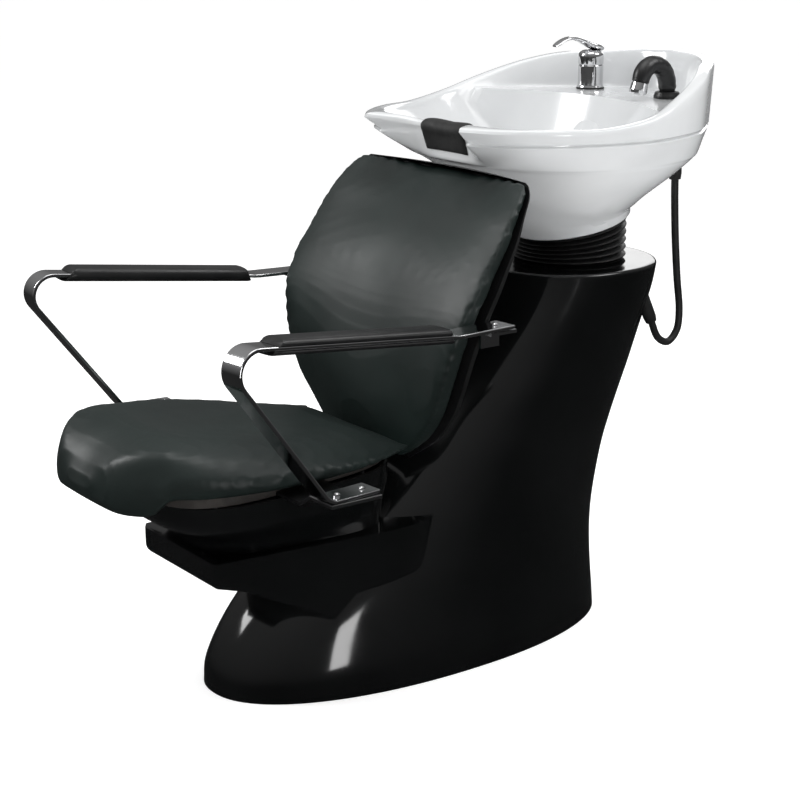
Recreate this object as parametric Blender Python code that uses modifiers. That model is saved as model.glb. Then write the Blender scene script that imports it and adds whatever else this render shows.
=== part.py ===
"""Shampoo backwash unit: a reclined salon seat on a moulded pedestal that carries a tilting ceramic bowl.

Metres, +Z up. The sitter faces -Y and the bowl is at +Y. The origin is on the floor under the pedestal.
"""

import math

import bmesh
import bpy
from mathutils import Matrix, Vector

GAP = 0.0003                # clearance between pieces that touch
CLEAR = 0.0012              # clearance round a piece let into another

# Pedestal: height of each level, then its front, its rear and its half width there.
PEDESTAL_TOP = 0.630
PEDESTAL_WALL = 0.005
PEDESTAL_LEVELS = [
    (0.000, -0.390, 0.393, 0.176),
    (0.040, -0.385, 0.390, 0.173),
    (0.100, -0.352, 0.386, 0.163),
    (0.160, -0.298, 0.385, 0.154),
    (0.220, -0.218, 0.390, 0.147),
    (0.300, -0.118, 0.405, 0.142),
    (0.350, -0.062, 0.420, 0.141),
    (0.400, -0.010, 0.438, 0.141),
    (0.450, 0.039, 0.455, 0.144),
    (0.500, 0.085, 0.470, 0.147),
    (0.550, 0.128, 0.483, 0.152),
    (0.590, 0.156, 0.493, 0.156),
    (0.624, 0.174, 0.498, 0.158),
]
TOP_EDGE_RADIUS = 0.006
TOP_HOLE_RADIUS = 0.083
RING_POINTS = 48

# Bowl: the crest of its rim from the rear round to the tip of a horn, then across the neck recess.
BOWL_CENTRE_Y = 0.353
RIM_CENTRE = Vector((0.0, 0.300, 0.0))
RIM_SIDE = [
    (0.000, 0.600, 0.976), (0.075, 0.589, 0.973), (0.138, 0.549, 0.968), (0.188, 0.493, 0.965),
    (0.232, 0.434, 0.951), (0.263, 0.362, 0.928), (0.279, 0.282, 0.902), (0.265, 0.196, 0.889),
    (0.232, 0.115, 0.889), (0.180, 0.047, 0.890), (0.127, 0.004, 0.892),
]
RIM_RECESS = [(0.127, 0.004, 0.892), (0.100, 0.030, 0.888), (0.070, 0.063, 0.881), (0.036, 0.076, 0.878),
              (0.000, 0.078, 0.876)]
SIDE_STEPS = 20
RECESS_STEPS = 10
RIM_WIDTH = 0.025
HORN_EXTRA = 0.028
HORN_UNDERCUT = 0.020          # how far a horn's underside leans in
GROOVE_HEIGHT = 0.864
GROOVE_DEPTH = 0.004
# Belly: height, half width, front, rear and how square the outline is towards the front.
BELLY_LEVELS = [
    (0.822, 0.2440, 0.086, 0.5520, 2.7), (0.816, 0.2395, 0.096, 0.5460, 2.6), (0.808, 0.2330, 0.112, 0.5370, 2.5),
    (0.784, 0.2095, 0.146, 0.5050, 2.3), (0.752, 0.1700, 0.184, 0.4670, 2.1), (0.728, 0.1370, 0.216, 0.4540, 2.0),
]
SHOULDER = 0.42             # how far in the outline has come halfway between the groove and the first of these
FOOT_RADIUS = 0.104
FOOT_WALL = 0.011
FOOT_HEIGHT = 0.694         # height of the foot's lower face at the bowl's centre
FOOT_SLOPE = 0.220          # how much that face rises for each metre towards the rear
DRAIN = Vector((0.0, 0.300, 0.752))
DRAIN_HOLE_RADIUS = 0.024
DECK_HEIGHT = 0.905
DECK_FRONT = 0.405
DECK_BEND = 1.5             # how much the deck's front edge curves forwards at its sides
DECK_SLOPE = 3.2

# Bowl's tilting mount.
PIN_HEIGHT = 0.655
PIN_RADIUS = 0.006
PIN_CLEARANCE = 0.0002

# Tap and hand spray on the bowl's deck.
TAP = Vector((-0.100, 0.483, DECK_HEIGHT + 0.0008))
SPRAY = Vector((0.100, 0.478, DECK_HEIGHT + 0.0008))

# Hose: its centreline in an upright plane, as (distance along Y, height), from the gland to the pedestal.
HOSE_X = 0.100
HOSE_RADIUS = 0.0065
HOSE_ROUTE = [
    (0.5050, 0.7720), (0.5070, 0.7250), (0.5120, 0.6600), (0.5200, 0.5900), (0.5290, 0.5300), (0.5250, 0.4920),
    (0.5030, 0.4730), (0.4780, 0.4850), (0.4650, 0.5080), (0.4570, 0.5240),
]

# Backrest: height, half width, front of the pad at its side, depth of the pad, of the shell, and the cupping across.
BACK_SHELL_WIDTH = 0.985     # of the pad's width, level by level
BACK_LEVELS = [
    (0.362, 0.098, -0.098, 0.026, 0.010, 0.003), (0.400, 0.150, -0.099, 0.038, 0.020, 0.007),
    (0.440, 0.184, -0.103, 0.043, 0.025, 0.010), (0.480, 0.207, -0.106, 0.045, 0.028, 0.012),
    (0.540, 0.229, -0.104, 0.045, 0.030, 0.014), (0.600, 0.245, -0.092, 0.044, 0.031, 0.016),
    (0.650, 0.250, -0.065, 0.041, 0.029, 0.018), (0.690, 0.248, -0.037, 0.037, 0.024, 0.020),
    (0.725, 0.246, -0.012, 0.033, 0.018, 0.023), (0.760, 0.240, 0.012, 0.028, 0.013, 0.026),
    (0.788, 0.231, 0.038, 0.022, 0.009, 0.029), (0.803, 0.220, 0.053, 0.016, 0.006, 0.030),
    (0.809, 0.210, 0.062, 0.010, 0.004, 0.030),
]

# Seat: distance along Y, half width, height of the cushion's top at its sides, and its underside.
SEAT_BOTTOM = 0.3924
SEAT_LEVELS = [
    (-0.613, 0.060, 0.424, 0.392), (-0.607, 0.090, 0.440, 0.379), (-0.593, 0.118, 0.453, 0.369),
    (-0.573, 0.146, 0.462, 0.366), (-0.555, 0.166, 0.466, 0.372), (-0.543, 0.178, 0.466, SEAT_BOTTOM),
    (-0.500, 0.205, 0.462, SEAT_BOTTOM), (-0.430, 0.224, 0.453, SEAT_BOTTOM), (-0.350, 0.226, 0.440, SEAT_BOTTOM),
    (-0.270, 0.214, 0.425, SEAT_BOTTOM), (-0.195, 0.190, 0.411, SEAT_BOTTOM), (-0.145, 0.168, 0.404, SEAT_BOTTOM),
    (-0.1045, 0.148, 0.400, SEAT_BOTTOM),
]
SEAT_DISH = 0.020
BOARD_TOP = SEAT_BOTTOM - GAP
BOARD_BOTTOM = 0.3783
BEAM_TOP = 0.333
OUTRIGGER_THICK = 0.006

# Seat tray: distance along Y, half width, lower edge and upper edge.
TRAY_LEVELS = [
    (-0.445, 0.106, 0.228, 0.264), (-0.438, 0.116, 0.222, 0.266), (-0.390, 0.121, 0.208, 0.266),
    (-0.310, 0.129, 0.168, 0.266), (-0.240, 0.136, 0.130, 0.266), (-0.200, 0.140, 0.166, 0.266),
    (-0.130, 0.147, 0.174, 0.266), (-0.085, 0.145, 0.180, 0.266), (-0.020, 0.115, 0.190, 0.266),
]

# Arms: a flat bar bent in an upright plane that opens towards the front.
ARM_REAR = Vector((0.2741, -0.0545, 0.0))
ARM_SPLAY = math.radians(4.7)
ARM_WIDTH = 0.043
ARM_THICK = 0.006
ARM_TAIL = [(-0.040, 0.6080), (0.066, 0.6090)]
ARM_TOP_REAR = (0.084, 0.6110)
ARM_TOP_FRONT = (0.4375, 0.6494)
ARM_LOOP_CENTRE = (0.4411, 0.6166)
ARM_LOOP_RADIUS = 0.0330
ARM_HEEL = (0.3200, 0.4050)
ARM_FOOT_END = (0.2300, 0.4050)
PAD_RANGE = (0.088, 0.4130)


def clear_scene():
    for obj in list(bpy.data.objects):
        bpy.data.objects.remove(obj, do_unlink=True)


def new_collection(name):
    group = bpy.data.collections.new(name)
    bpy.context.scene.collection.children.link(group)
    return group


def material(name, color, roughness, metallic=0.0):
    made = bpy.data.materials.new(name)
    made.use_nodes = True
    shader = made.node_tree.nodes["Principled BSDF"]
    shader.inputs["Base Color"].default_value = (*color, 1.0)
    shader.inputs["Roughness"].default_value = roughness
    shader.inputs["Metallic"].default_value = metallic
    return made


class Workshop:
    """Holds the two collections and the materials, and makes objects in them."""

    def __init__(self):
        self.parts = new_collection("backwash_unit")
        self.cutters = new_collection("cutters")
        self.materials = {
            "gloss_black": material("gloss_black", (0.012, 0.012, 0.014), 0.08),
            "upholstery": material("upholstery", (0.022, 0.030, 0.028), 0.38),
            "ceramic": material("ceramic", (0.86, 0.86, 0.84), 0.06),
            "chrome": material("chrome", (0.80, 0.80, 0.80), 0.08, 1.0),
            "steel": material("steel", (0.10, 0.10, 0.11), 0.45, 0.6),
            "rubber": material("rubber", (0.015, 0.015, 0.016), 0.55),
            "black_plastic": material("black_plastic", (0.018, 0.018, 0.019), 0.30),
            "board": material("board", (0.020, 0.020, 0.021), 0.60),
            "brass": material("brass", (0.70, 0.55, 0.30), 0.30, 1.0),
        }

    def add(self, name, bm, finish, smooth_angle=35.0):
        bmesh.ops.recalc_face_normals(bm, faces=bm.faces)
        mesh = bpy.data.meshes.new(name)
        bm.to_mesh(mesh)
        bm.free()
        return self.add_mesh(name, mesh, finish, smooth_angle)

    def add_mesh(self, name, mesh, finish, smooth_angle=35.0):
        obj = bpy.data.objects.new(name, mesh)
        mesh.materials.clear()
        mesh.materials.append(self.materials[finish])
        self.parts.objects.link(obj)
        mesh.shade_smooth()
        mesh.set_sharp_from_angle(angle=math.radians(smooth_angle))
        return obj

    def cutter(self, name, bm):
        bmesh.ops.recalc_face_normals(bm, faces=bm.faces)
        mesh = bpy.data.meshes.new(name)
        bm.to_mesh(mesh)
        bm.free()
        obj = bpy.data.objects.new(name, mesh)
        obj.hide_render = True
        obj.display_type = "WIRE"
        self.cutters.objects.link(obj)
        return obj


def bevel(obj, width, segments=2):
    mod = obj.modifiers.new("Bevel", "BEVEL")
    mod.width = width
    mod.segments = segments
    mod.limit_method = "ANGLE"
    return obj


def boolean(obj, cutter, operation="DIFFERENCE"):
    mod = obj.modifiers.new("Boolean", "BOOLEAN")
    mod.operation = operation
    mod.solver = "EXACT"
    mod.object = cutter
    return obj


def box_mesh(low, high):
    bm = bmesh.new()
    low, high = Vector(low), Vector(high)
    place = Matrix.Translation((low + high) / 2) @ Matrix.Diagonal((high - low).to_4d())
    bmesh.ops.create_cube(bm, size=1.0, matrix=place)
    return bm


def cylinder_mesh(radius, length, centre, axis="Z", segments=32, top_radius=None):
    """A cylinder or cone whose middle is at centre, along X, Y or Z."""
    bm = bmesh.new()
    turn = {"X": Matrix.Rotation(math.pi / 2, 4, "Y"), "Y": Matrix.Rotation(-math.pi / 2, 4, "X"), "Z": Matrix()}
    bmesh.ops.create_cone(
        bm, cap_ends=True, segments=segments, radius1=radius,
        radius2=radius if top_radius is None else top_radius, depth=length,
        matrix=Matrix.Translation(centre) @ turn[axis],
    )
    return bm


def turned(shop, name, profile, finish, place, steps=32):
    """Turns a profile of (radius, height) points, listed from the top down, about the Z axis of place."""
    mesh = bpy.data.meshes.new(name)
    edges = [(i, i + 1) for i in range(len(profile) - 1)]
    mesh.from_pydata([(r, 0.0, z) for r, z in profile], edges, [])
    obj = shop.add_mesh(name, mesh, finish)
    obj.matrix_world = place
    mod = obj.modifiers.new("Screw", "SCREW")
    mod.steps = steps
    mod.render_steps = steps
    mod.use_merge_vertices = True
    mod.merge_threshold = 0.00001
    mod.use_smooth_shade = True
    return obj


def smooth_path(points, spacing):
    """Points about spacing apart along a Catmull-Rom curve through the given ones."""
    ends = [2 * points[0] - points[1], *points, 2 * points[-1] - points[-2]]
    path = []
    for a, b, c, d in zip(ends, ends[1:], ends[2:], ends[3:]):
        count = max(1, round((c - b).length / spacing))
        for step in range(count):
            t = step / count
            path.append(
                0.5 * (2 * b + (c - a) * t + (2 * a - 5 * b + 4 * c - d) * t ** 2
                       + (3 * b - a - 3 * c + d) * t ** 3)
            )
    path.append(points[-1])
    return path


def tube(shop, name, points, radius, finish, resolution=2, radii=None):
    """A round solid along points, as a poly curve with filled caps."""
    curve = bpy.data.curves.new(name, "CURVE")
    curve.dimensions = "3D"
    curve.bevel_depth = radius
    curve.bevel_resolution = resolution
    curve.use_fill_caps = True
    spline = curve.splines.new("POLY")
    spline.points.add(len(points) - 1)
    for index, point in enumerate(points):
        spline.points[index].co = (*point, 1.0)
        spline.points[index].radius = radii[index] if radii else 1.0
    spline.use_smooth = True
    obj = bpy.data.objects.new(name, curve)
    curve.materials.append(shop.materials[finish])
    shop.parts.objects.link(obj)
    return obj


def catmull(points, t):
    """The value at t, from 0 to 1, of a Catmull-Rom curve through evenly counted points."""
    at = t * (len(points) - 1)
    i = min(int(at), len(points) - 2)
    f = at - i
    b, c = Vector(points[i]), Vector(points[i + 1])
    a = Vector(points[i - 1]) if i > 0 else 2 * b - c
    d = Vector(points[i + 2]) if i + 2 < len(points) else 2 * c - b
    return 0.5 * (2 * b + (c - a) * f + (2 * a - 5 * b + 4 * c - d) * f ** 2 + (3 * b - a - 3 * c + d) * f ** 3)


def level_at(levels, value):
    """The row of a table at a first-column value, by linear steps."""
    for low, high in zip(levels, levels[1:]):
        if value <= high[0]:
            break
    f = max(0.0, min(1.0, (value - low[0]) / (high[0] - low[0])))
    return [a + (b - a) * f for a, b in zip(low, high)]


def loft(bm, rings, close_start=False, close_end=False, loop=False):
    """Joins rings of equally many points with quads."""
    made = [[bm.verts.new(point) for point in ring] for ring in rings]
    pairs = list(zip(made, made[1:]))
    if loop:
        pairs.append((made[-1], made[0]))
    for first, second in pairs:
        for i in range(len(first)):
            j = (i + 1) % len(first)
            bm.faces.new((first[i], first[j], second[j], second[i]))
    if close_start:
        bm.faces.new(list(reversed(made[0])))
    if close_end:
        bm.faces.new(made[-1])
    return bm


def oval(z, front, rear, half_width, grow=0.0, count=RING_POINTS, power=0.92):
    """An oval ring at height z. A power under 1 squares it a little."""
    ring = []
    for i in range(count):
        angle = 2 * math.pi * i / count
        c, s = math.cos(angle), math.sin(angle)
        x = (half_width + grow) * math.copysign(abs(c) ** power, c)
        y = (front + rear) / 2 + ((rear - front) / 2 + grow) * math.copysign(abs(s) ** power, s)
        ring.append((x, y, z))
    return ring


def pedestal_rings(grow):
    return [oval(z, front, rear, half, grow) for z, front, rear, half in PEDESTAL_LEVELS]


def pedestal_solid(grow):
    """The pedestal's outer form as a closed solid, for cutting its neighbours."""
    rings = pedestal_rings(grow)
    return loft(bmesh.new(), rings, close_start=True, close_end=True)


def circle(radius, centre_y, z, count=RING_POINTS):
    return [
        (radius * math.cos(2 * math.pi * i / count), centre_y + radius * math.sin(2 * math.pi * i / count), z)
        for i in range(count)
    ]


def pedestal_surface():
    z, front, rear, half = PEDESTAL_LEVELS[-1]
    rings = pedestal_rings(0.0)
    middle = TOP_EDGE_RADIUS * 0.3
    rings.append(oval(PEDESTAL_TOP - middle, front, rear, half, -middle))
    rings.append(oval(PEDESTAL_TOP, front, rear, half, -TOP_EDGE_RADIUS))
    rings.append(circle(TOP_HOLE_RADIUS, BOWL_CENTRE_Y, PEDESTAL_TOP))
    return loft(bmesh.new(), rings)


def shell(obj, thickness):
    mod = obj.modifiers.new("Solidify", "SOLIDIFY")
    mod.thickness = thickness
    mod.offset = -1.0
    mod.use_even_offset = False
    return obj


PANEL_LOW = Vector((-0.075, 0.30, 0.070))
PANEL_HIGH = Vector((0.075, 0.60, 0.330))


def make_pedestal(shop):
    """The moulded shell, with a service opening at the back and windows for the seat's and backrest's arms."""
    pedestal = shop.add("pedestal_shell", pedestal_surface(), "gloss_black", 50.0)
    shell(pedestal, PEDESTAL_WALL)
    boolean(pedestal, shop.cutter("service_opening", box_mesh(PANEL_LOW, PANEL_HIGH)))
    beam_hole = box_mesh((-0.031, -0.22, 0.287), (0.031, 0.08, BEAM_TOP + 0.006))
    boolean(pedestal, shop.cutter("beam_hole", beam_hole))
    bracket_hole = box_mesh((-0.046, -0.06, 0.394), (0.046, 0.12, 0.442))
    boolean(pedestal, shop.cutter("bracket_hole", bracket_hole))


def make_rear_panel(shop):
    panel = shop.add("rear_panel", pedestal_surface(), "gloss_black", 50.0)
    shell(panel, PEDESTAL_WALL)
    edge = Vector((CLEAR, 0.0, CLEAR))
    boolean(panel, shop.cutter("panel_outline", box_mesh(PANEL_LOW + edge, PANEL_HIGH - edge)), "INTERSECT")


def make_floor_plate(shop):
    rings = [oval(z, -0.372, 0.374, 0.158, 0.0, 40) for z in (0.0, 0.006)]
    plate = shop.add("floor_plate", loft(bmesh.new(), rings, True, True), "steel")
    for index, (x, y) in enumerate(((0.11, 0.20), (-0.11, 0.20), (0.09, -0.22), (-0.09, -0.22))):
        hole = cylinder_mesh(0.006, 0.03, (x, y, 0.003), "Z", 16)
        boolean(plate, shop.cutter(f"anchor_hole_{index + 1}", hole))


def make_frame(shop):
    """The steel post inside the pedestal, its arms to the seat and backrest, and the plate for the bowl's mount."""
    column = shop.add("column", box_mesh((-0.035, 0.300, 0.006 + GAP), (0.035, 0.370, 0.6115)), "steel")
    bevel(column, 0.003, 1)
    front = 0.300 - GAP
    beam = shop.add("seat_beam", box_mesh((-0.025, -0.360, 0.293), (0.025, front, BEAM_TOP)), "steel")
    bevel(beam, 0.003, 1)
    riser = box_mesh((-0.060, -0.370, BEAM_TOP + GAP), (0.060, -0.180, BOARD_BOTTOM - GAP))
    bevel(shop.add("seat_riser", riser, "steel"), 0.002, 1)
    bracket = box_mesh((-0.040, -0.0245, 0.400), (0.040, front, 0.436))
    bevel(shop.add("back_bracket", bracket, "steel"), 0.002, 1)
    top = shop.add("top_plate", cylinder_mesh(0.125, 0.010, (0.0, 0.345, 0.617), "Z", 40), "steel")
    boolean(top, shop.cutter("waste_hole", cylinder_mesh(0.024, 0.04, (0.0, DRAIN.y - 0.012, 0.617), "Z", 24)))


def make_tray(shop):
    """The cantilever cover under the seat: an open-topped box that deepens towards the pedestal."""
    rings = []
    for y, half, low, high in TRAY_LEVELS:
        turn = min(0.014, (high - low) * 0.3)
        ring = [(-half, y, high), (half, y, high), (half, y, low + turn)]
        ring += [(half - turn * 0.3, y, low + turn * 0.3), (half - turn, y, low)]
        ring += [(-half + turn, y, low), (-half + turn * 0.3, y, low + turn * 0.3), (-half, y, low + turn)]
        rings.append(ring)
    tray = shop.add("seat_tray", loft(bmesh.new(), rings, True, True), "gloss_black", 30.0)
    hollow = box_mesh((-0.095, -0.415, 0.2365), (0.095, -0.05, 0.30))
    boolean(tray, shop.cutter("tray_hollow", hollow))
    boolean(tray, shop.cutter("pedestal_form_for_tray", pedestal_solid(0.0008)))


def rounded_outline(front, rear, front_half, rear_half, z, count=40, power=0.55):
    """A rounded shield: an oval squared by power, whose half width runs from the front's to the rear's."""
    ring = []
    for i in range(count):
        angle = 2 * math.pi * i / count
        c, s = math.cos(angle), math.sin(angle)
        along = math.copysign(abs(s) ** power, s)
        half = front_half + (rear_half - front_half) * (along + 1) / 2
        ring.append((half * math.copysign(abs(c) ** power, c), (front + rear) / 2 + along * (rear - front) / 2, z))
    return ring


def make_seat_pan(shop):
    """The flared neck between the tray and the seat board: an open tub."""
    rings = [
        rounded_outline(-0.430, -0.107, 0.104, 0.128, 0.2665),
        rounded_outline(-0.452, -0.107, 0.126, 0.134, 0.292),
        rounded_outline(-0.492, -0.107, 0.160, 0.146, 0.316),
        rounded_outline(-0.524, -0.107, 0.190, 0.158, 0.340),
        rounded_outline(-0.531, -0.107, 0.198, 0.162, BOARD_BOTTOM - 0.0016),
    ]
    pan = shop.add("seat_pan", loft(bmesh.new(), rings), "gloss_black", 40.0)
    shell(pan, 0.004)
    boolean(pan, shop.cutter("beam_slot", box_mesh((-0.031, -0.13, 0.24), (0.031, 0.02, BEAM_TOP + 0.006))))
    boolean(pan, shop.cutter("pedestal_form_for_pan", pedestal_solid(0.0008)))


def make_seat_board(shop):
    rings = [rounded_outline(-0.540, -0.1060, 0.192, 0.148, z) for z in (BOARD_BOTTOM, BOARD_TOP)]
    board = shop.add("seat_board", loft(bmesh.new(), rings, True, True), "board", 40.0)
    groove = box_mesh((-0.30, -0.373, 0.37), (0.30, -0.282, BOARD_BOTTOM + OUTRIGGER_THICK + GAP))
    boolean(board, shop.cutter("outrigger_groove", groove))


def seat_ring(y, half, top, bottom):
    """One cross-section of the cushion, upright in Y: rounded edges, a dished top and a flat bottom."""
    dish = SEAT_DISH * min(1.0, max(0.0, (y + 0.61) / 0.12)) * min(1.0, (top - bottom) / 0.05)
    ring = []
    for i in range(9):
        side = 1 - i / 4
        ring.append((side * half * 0.93, y, top - dish * (1 - side ** 2) - 0.004 * abs(side) ** 6))
    height = top - bottom
    ring.append((-half * 0.985, y, bottom + height * 0.82))
    ring.append((-half, y, bottom + height * 0.50))
    ring += [(-half * 0.975, y, bottom + height * 0.12), (-half * 0.93, y, bottom)]
    ring += [(0.0, y, bottom), (half * 0.93, y, bottom), (half * 0.975, y, bottom + height * 0.12)]
    ring.append((half, y, bottom + height * 0.50))
    ring.append((half * 0.985, y, bottom + height * 0.82))
    return ring


def make_seat_cushion(shop):
    rings = [seat_ring(*level) for level in SEAT_LEVELS]
    shop.add("seat_cushion", loft(bmesh.new(), rings, True, True), "upholstery", 60.0)


def back_section(half, near, far, near_cup, far_cup, z, round_side):
    """A level ring between a front and a rear face. Both are hollowed towards the middle by their cup."""
    ring = []
    for i in range(11):
        side = i / 5 - 1
        ring.append((half * side, near + near_cup * (1 - side ** 2) + round_side * abs(side) ** 9, z))
    for i in range(11):
        side = 1 - i / 5
        ring.append((half * side, far + far_cup * (1 - side ** 2) - round_side * abs(side) ** 9, z))
    return ring


def make_back(shop):
    """The upholstered pad and the shell behind it, level by level."""
    pad_rings = []
    shell_rings = []
    for z, half, front, pad, rear, cup in BACK_LEVELS:
        seam = front + pad
        pad_rings.append(back_section(half, front, seam - GAP, cup, cup, z, min(0.010, pad * 0.25)))
        reach = BACK_SHELL_WIDTH ** 2
        shell_rings.append(back_section(half * BACK_SHELL_WIDTH, seam + cup * (1 - reach), seam + rear,
                                        cup * reach, cup * 0.55, z, 0.0))
    shop.add("back_cushion", loft(bmesh.new(), pad_rings, True, True), "upholstery", 60.0)
    shop.add("back_shell", loft(bmesh.new(), shell_rings, True, True), "black_plastic", 60.0)


def arm_point(side, along, z, across=0.0):
    """A world point from its place in an arm's upright plane. Side is 1 at +X and -1 at -X."""
    outward = math.cos(ARM_SPLAY) * across
    x = ARM_REAR.x + along * math.sin(ARM_SPLAY) + outward
    y = ARM_REAR.y - along * math.cos(ARM_SPLAY) + math.sin(ARM_SPLAY) * across
    return Vector((side * x, y, z))


def arm_path():
    """The bar's middle line in its plane: rear end, top, front loop, lower leg and foot."""
    path = [Vector(point) for point in ARM_TAIL] + [Vector(ARM_TOP_REAR), Vector(ARM_TOP_FRONT)]
    centre = Vector(ARM_LOOP_CENTRE)
    heel = Vector(ARM_HEEL) + Vector((0.008, 0.010))
    leg = heel - centre
    spread = math.acos(ARM_LOOP_RADIUS / leg.length)
    start = math.radians(96)
    end = math.atan2(leg.y, leg.x) + spread
    for i in range(1, 13):
        angle = start + (end - start) * i / 12
        path.append(centre + ARM_LOOP_RADIUS * Vector((math.cos(angle), math.sin(angle))))
    path += [heel, Vector(ARM_HEEL) + Vector((0.001, 0.0025)), Vector(ARM_HEEL) + Vector((-0.009, 0.0))]
    path.append(Vector(ARM_FOOT_END))
    return path


def make_arm_bar(shop, side, name):
    path = arm_path()
    rings = []
    for index, point in enumerate(path):
        before = path[max(0, index - 1)]
        after = path[min(len(path) - 1, index + 1)]
        along = (after - before).normalized()
        lift = Vector((-along.y, along.x)) * ARM_THICK / 2
        rings.append([
            arm_point(side, point.x + lift.x * up, point.y + lift.y * up, across * ARM_WIDTH / 2)
            for across, up in ((-1, 1), (1, 1), (1, -1), (-1, -1))
        ])
    bar = shop.add(f"arm_bar_{name}", loft(bmesh.new(), rings, True, True), "chrome", 40.0)
    bevel(bar, 0.0008, 1)


def pad_section():
    """The pad's section as (across, up): a rounded sleeve with a slot for the bar, open at the outer side."""
    half, top, low = 0.0240, 0.0135, 0.0105
    corners = [(-half, -low * 0.3), (-half, top * 0.35), (-half * 0.82, top * 0.80), (-half * 0.38, top)]
    corners += [(half * 0.38, top), (half * 0.82, top * 0.80), (half * 0.96, top * 0.45)]
    slot = ARM_THICK / 2 + 0.0004
    inner = ARM_WIDTH / 2 + 0.0004
    corners += [(half * 0.93, slot), (-inner, slot), (-inner, -slot), (half * 0.93, -slot)]
    corners += [(half * 0.96, -low * 0.55), (half * 0.75, -low * 0.92), (half * 0.3, -low), (-half * 0.5, -low)]
    corners += [(-half * 0.86, -low * 0.80)]
    return corners


def make_arm_pad(shop, side, name):
    rear, front = Vector(ARM_TOP_REAR), Vector(ARM_TOP_FRONT)
    slope = (front - rear) / (front.x - rear.x)
    rings = []
    for along, slant in ((PAD_RANGE[0], 0.004), (PAD_RANGE[0] + 0.006, 0.004), (0.5 * sum(PAD_RANGE), 0.0),
                         (PAD_RANGE[1] - 0.006, -0.012), (PAD_RANGE[1], -0.012)):
        tip = 0.93 if along in PAD_RANGE else 1.0
        middle = rear + slope * (along - rear.x)
        rings.append([
            arm_point(side, middle.x + slant * up / 0.0125,
                      middle.y + up * (tip if abs(up) > 0.004 else 1.0) + slope.y * slant * up / 0.0125,
                      across * (tip if abs(across) > 0.0223 else 1.0))
            for across, up in pad_section()
        ])
    shop.add(f"arm_pad_{name}", loft(bmesh.new(), rings, True, True), "black_plastic", 50.0)


def make_arm_bracket(shop, side, name):
    """The bracket on the back shell's side that holds the rear end of the arm."""
    under = ARM_TAIL[0][1] - ARM_THICK / 2 - GAP - 0.0006
    low, high = sorted((side * 0.2450, side * 0.2500))
    bracket = shop.add(f"arm_bracket_{name}", box_mesh((low, -0.046, under - 0.034), (high, -0.010, under)), "chrome")
    low, high = sorted((side * 0.2455, side * 0.2920))
    flange = box_mesh((low, -0.060, under - 0.005), (high, -0.010, under))
    boolean(bracket, shop.cutter(f"bracket_flange_{name}", flange), "UNION")


def bolt(shop, name, centre, radius=0.0052, height=0.0035, finish="chrome"):
    """A domed bolt head, seen from above."""
    profile = [(0.0, height), (radius * 0.6, height * 0.86), (radius * 0.92, height * 0.45), (radius, 0.0), (0.0, 0.0)]
    turned(shop, name, profile, finish, Matrix.Translation(centre), 14)


def make_arm_fixings(shop, side, name):
    top = ARM_TAIL[0][1] + ARM_THICK / 2 + GAP
    bolt(shop, f"arm_rear_bolt_{name}", arm_point(side, -0.016, top))
    foot_top = ARM_FOOT_END[1] + ARM_THICK / 2 + GAP
    bolt(shop, f"arm_foot_bolt_front_{name}", arm_point(side, 0.294, foot_top))
    bolt(shop, f"arm_foot_bolt_rear_{name}", arm_point(side, 0.248, foot_top))


def make_outrigger(shop):
    """The stepped plate under the seat board that carries both arms' feet."""
    foot = ARM_FOOT_END[1] - ARM_THICK / 2 - GAP
    low = BOARD_BOTTOM + OUTRIGGER_THICK
    half_path = [(0.000, low), (0.236, low), (0.262, foot), (0.3205, foot)]
    upper = [(-x, z) for x, z in reversed(half_path)] + half_path[1:]
    section = upper + [(x, z - OUTRIGGER_THICK) for x, z in reversed(upper)]
    rings = [[(x, y, z) for x, z in section] for y in (-0.372, -0.283)]
    plate = shop.add("arm_outrigger", loft(bmesh.new(), rings, True, True), "black_plastic", 30.0)
    bevel(plate, 0.0008, 1)


def rim_points():
    """The rim's whole outline, from the rear round the +X side, across the recess and back along -X."""
    half = [catmull(RIM_SIDE, i / SIDE_STEPS) for i in range(SIDE_STEPS)]
    half += [catmull(RIM_RECESS, i / RECESS_STEPS) for i in range(RECESS_STEPS + 1)]
    mirrored = [Vector((-p.x, p.y, p.z)) for p in reversed(half[1:-1])]
    return half + mirrored


def inward(rim, distance):
    """A rim point moved towards the middle of the bowl, level."""
    away = Vector((rim.x - RIM_CENTRE.x, rim.y - RIM_CENTRE.y, 0.0))
    return rim - away.normalized() * distance


def horn(rim):
    """1 at the tip of a horn, falling to 0 a hand's width away."""
    return max(0.0, 1.0 - Vector((abs(rim.x) - 0.127, rim.y - 0.004)).length / 0.10)


def at_recess(rim):
    """1 across the neck recess and 0 from the horns' tips round the sides and the rear."""
    return 1.0 if rim.y < 0.20 and abs(rim.x) < 0.113 else 0.0


def towards_rear(rim):
    """1 behind the deck's front ridge, 0 beside and in front of the basin."""
    return min(1.0, max(0.0, (rim.y - 0.37) / 0.11))


def basin_edge(rim):
    return inward(rim, RIM_WIDTH + HORN_EXTRA * horn(rim)) - Vector((0.0, 0.0, 0.007))


def belly_point(rim, level):
    """The point of a belly level in the same direction from the bowl's middle as a rim point."""
    z, half, front, rear, square = level
    away = Vector((rim.x, rim.y - RIM_CENTRE.y))
    away.normalize()
    reach = RIM_CENTRE.y - front if away.y < 0 else rear - RIM_CENTRE.y
    power = square if away.y < 0 else 2.1
    size = (abs(away.x / half) ** power + abs(away.y / reach) ** power) ** (-1 / power)
    return Vector((away.x * size, RIM_CENTRE.y + away.y * size, z))


def foot_face(y):
    return FOOT_HEIGHT + FOOT_SLOPE * (y - BOWL_CENTRE_Y)


def foot_point(rim, radius, lift=0.0):
    away = Vector((rim.x, rim.y - RIM_CENTRE.y)).normalized() * radius
    y = BOWL_CENTRE_Y + away.y
    return Vector((away.x, y, foot_face(y) + lift))


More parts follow.
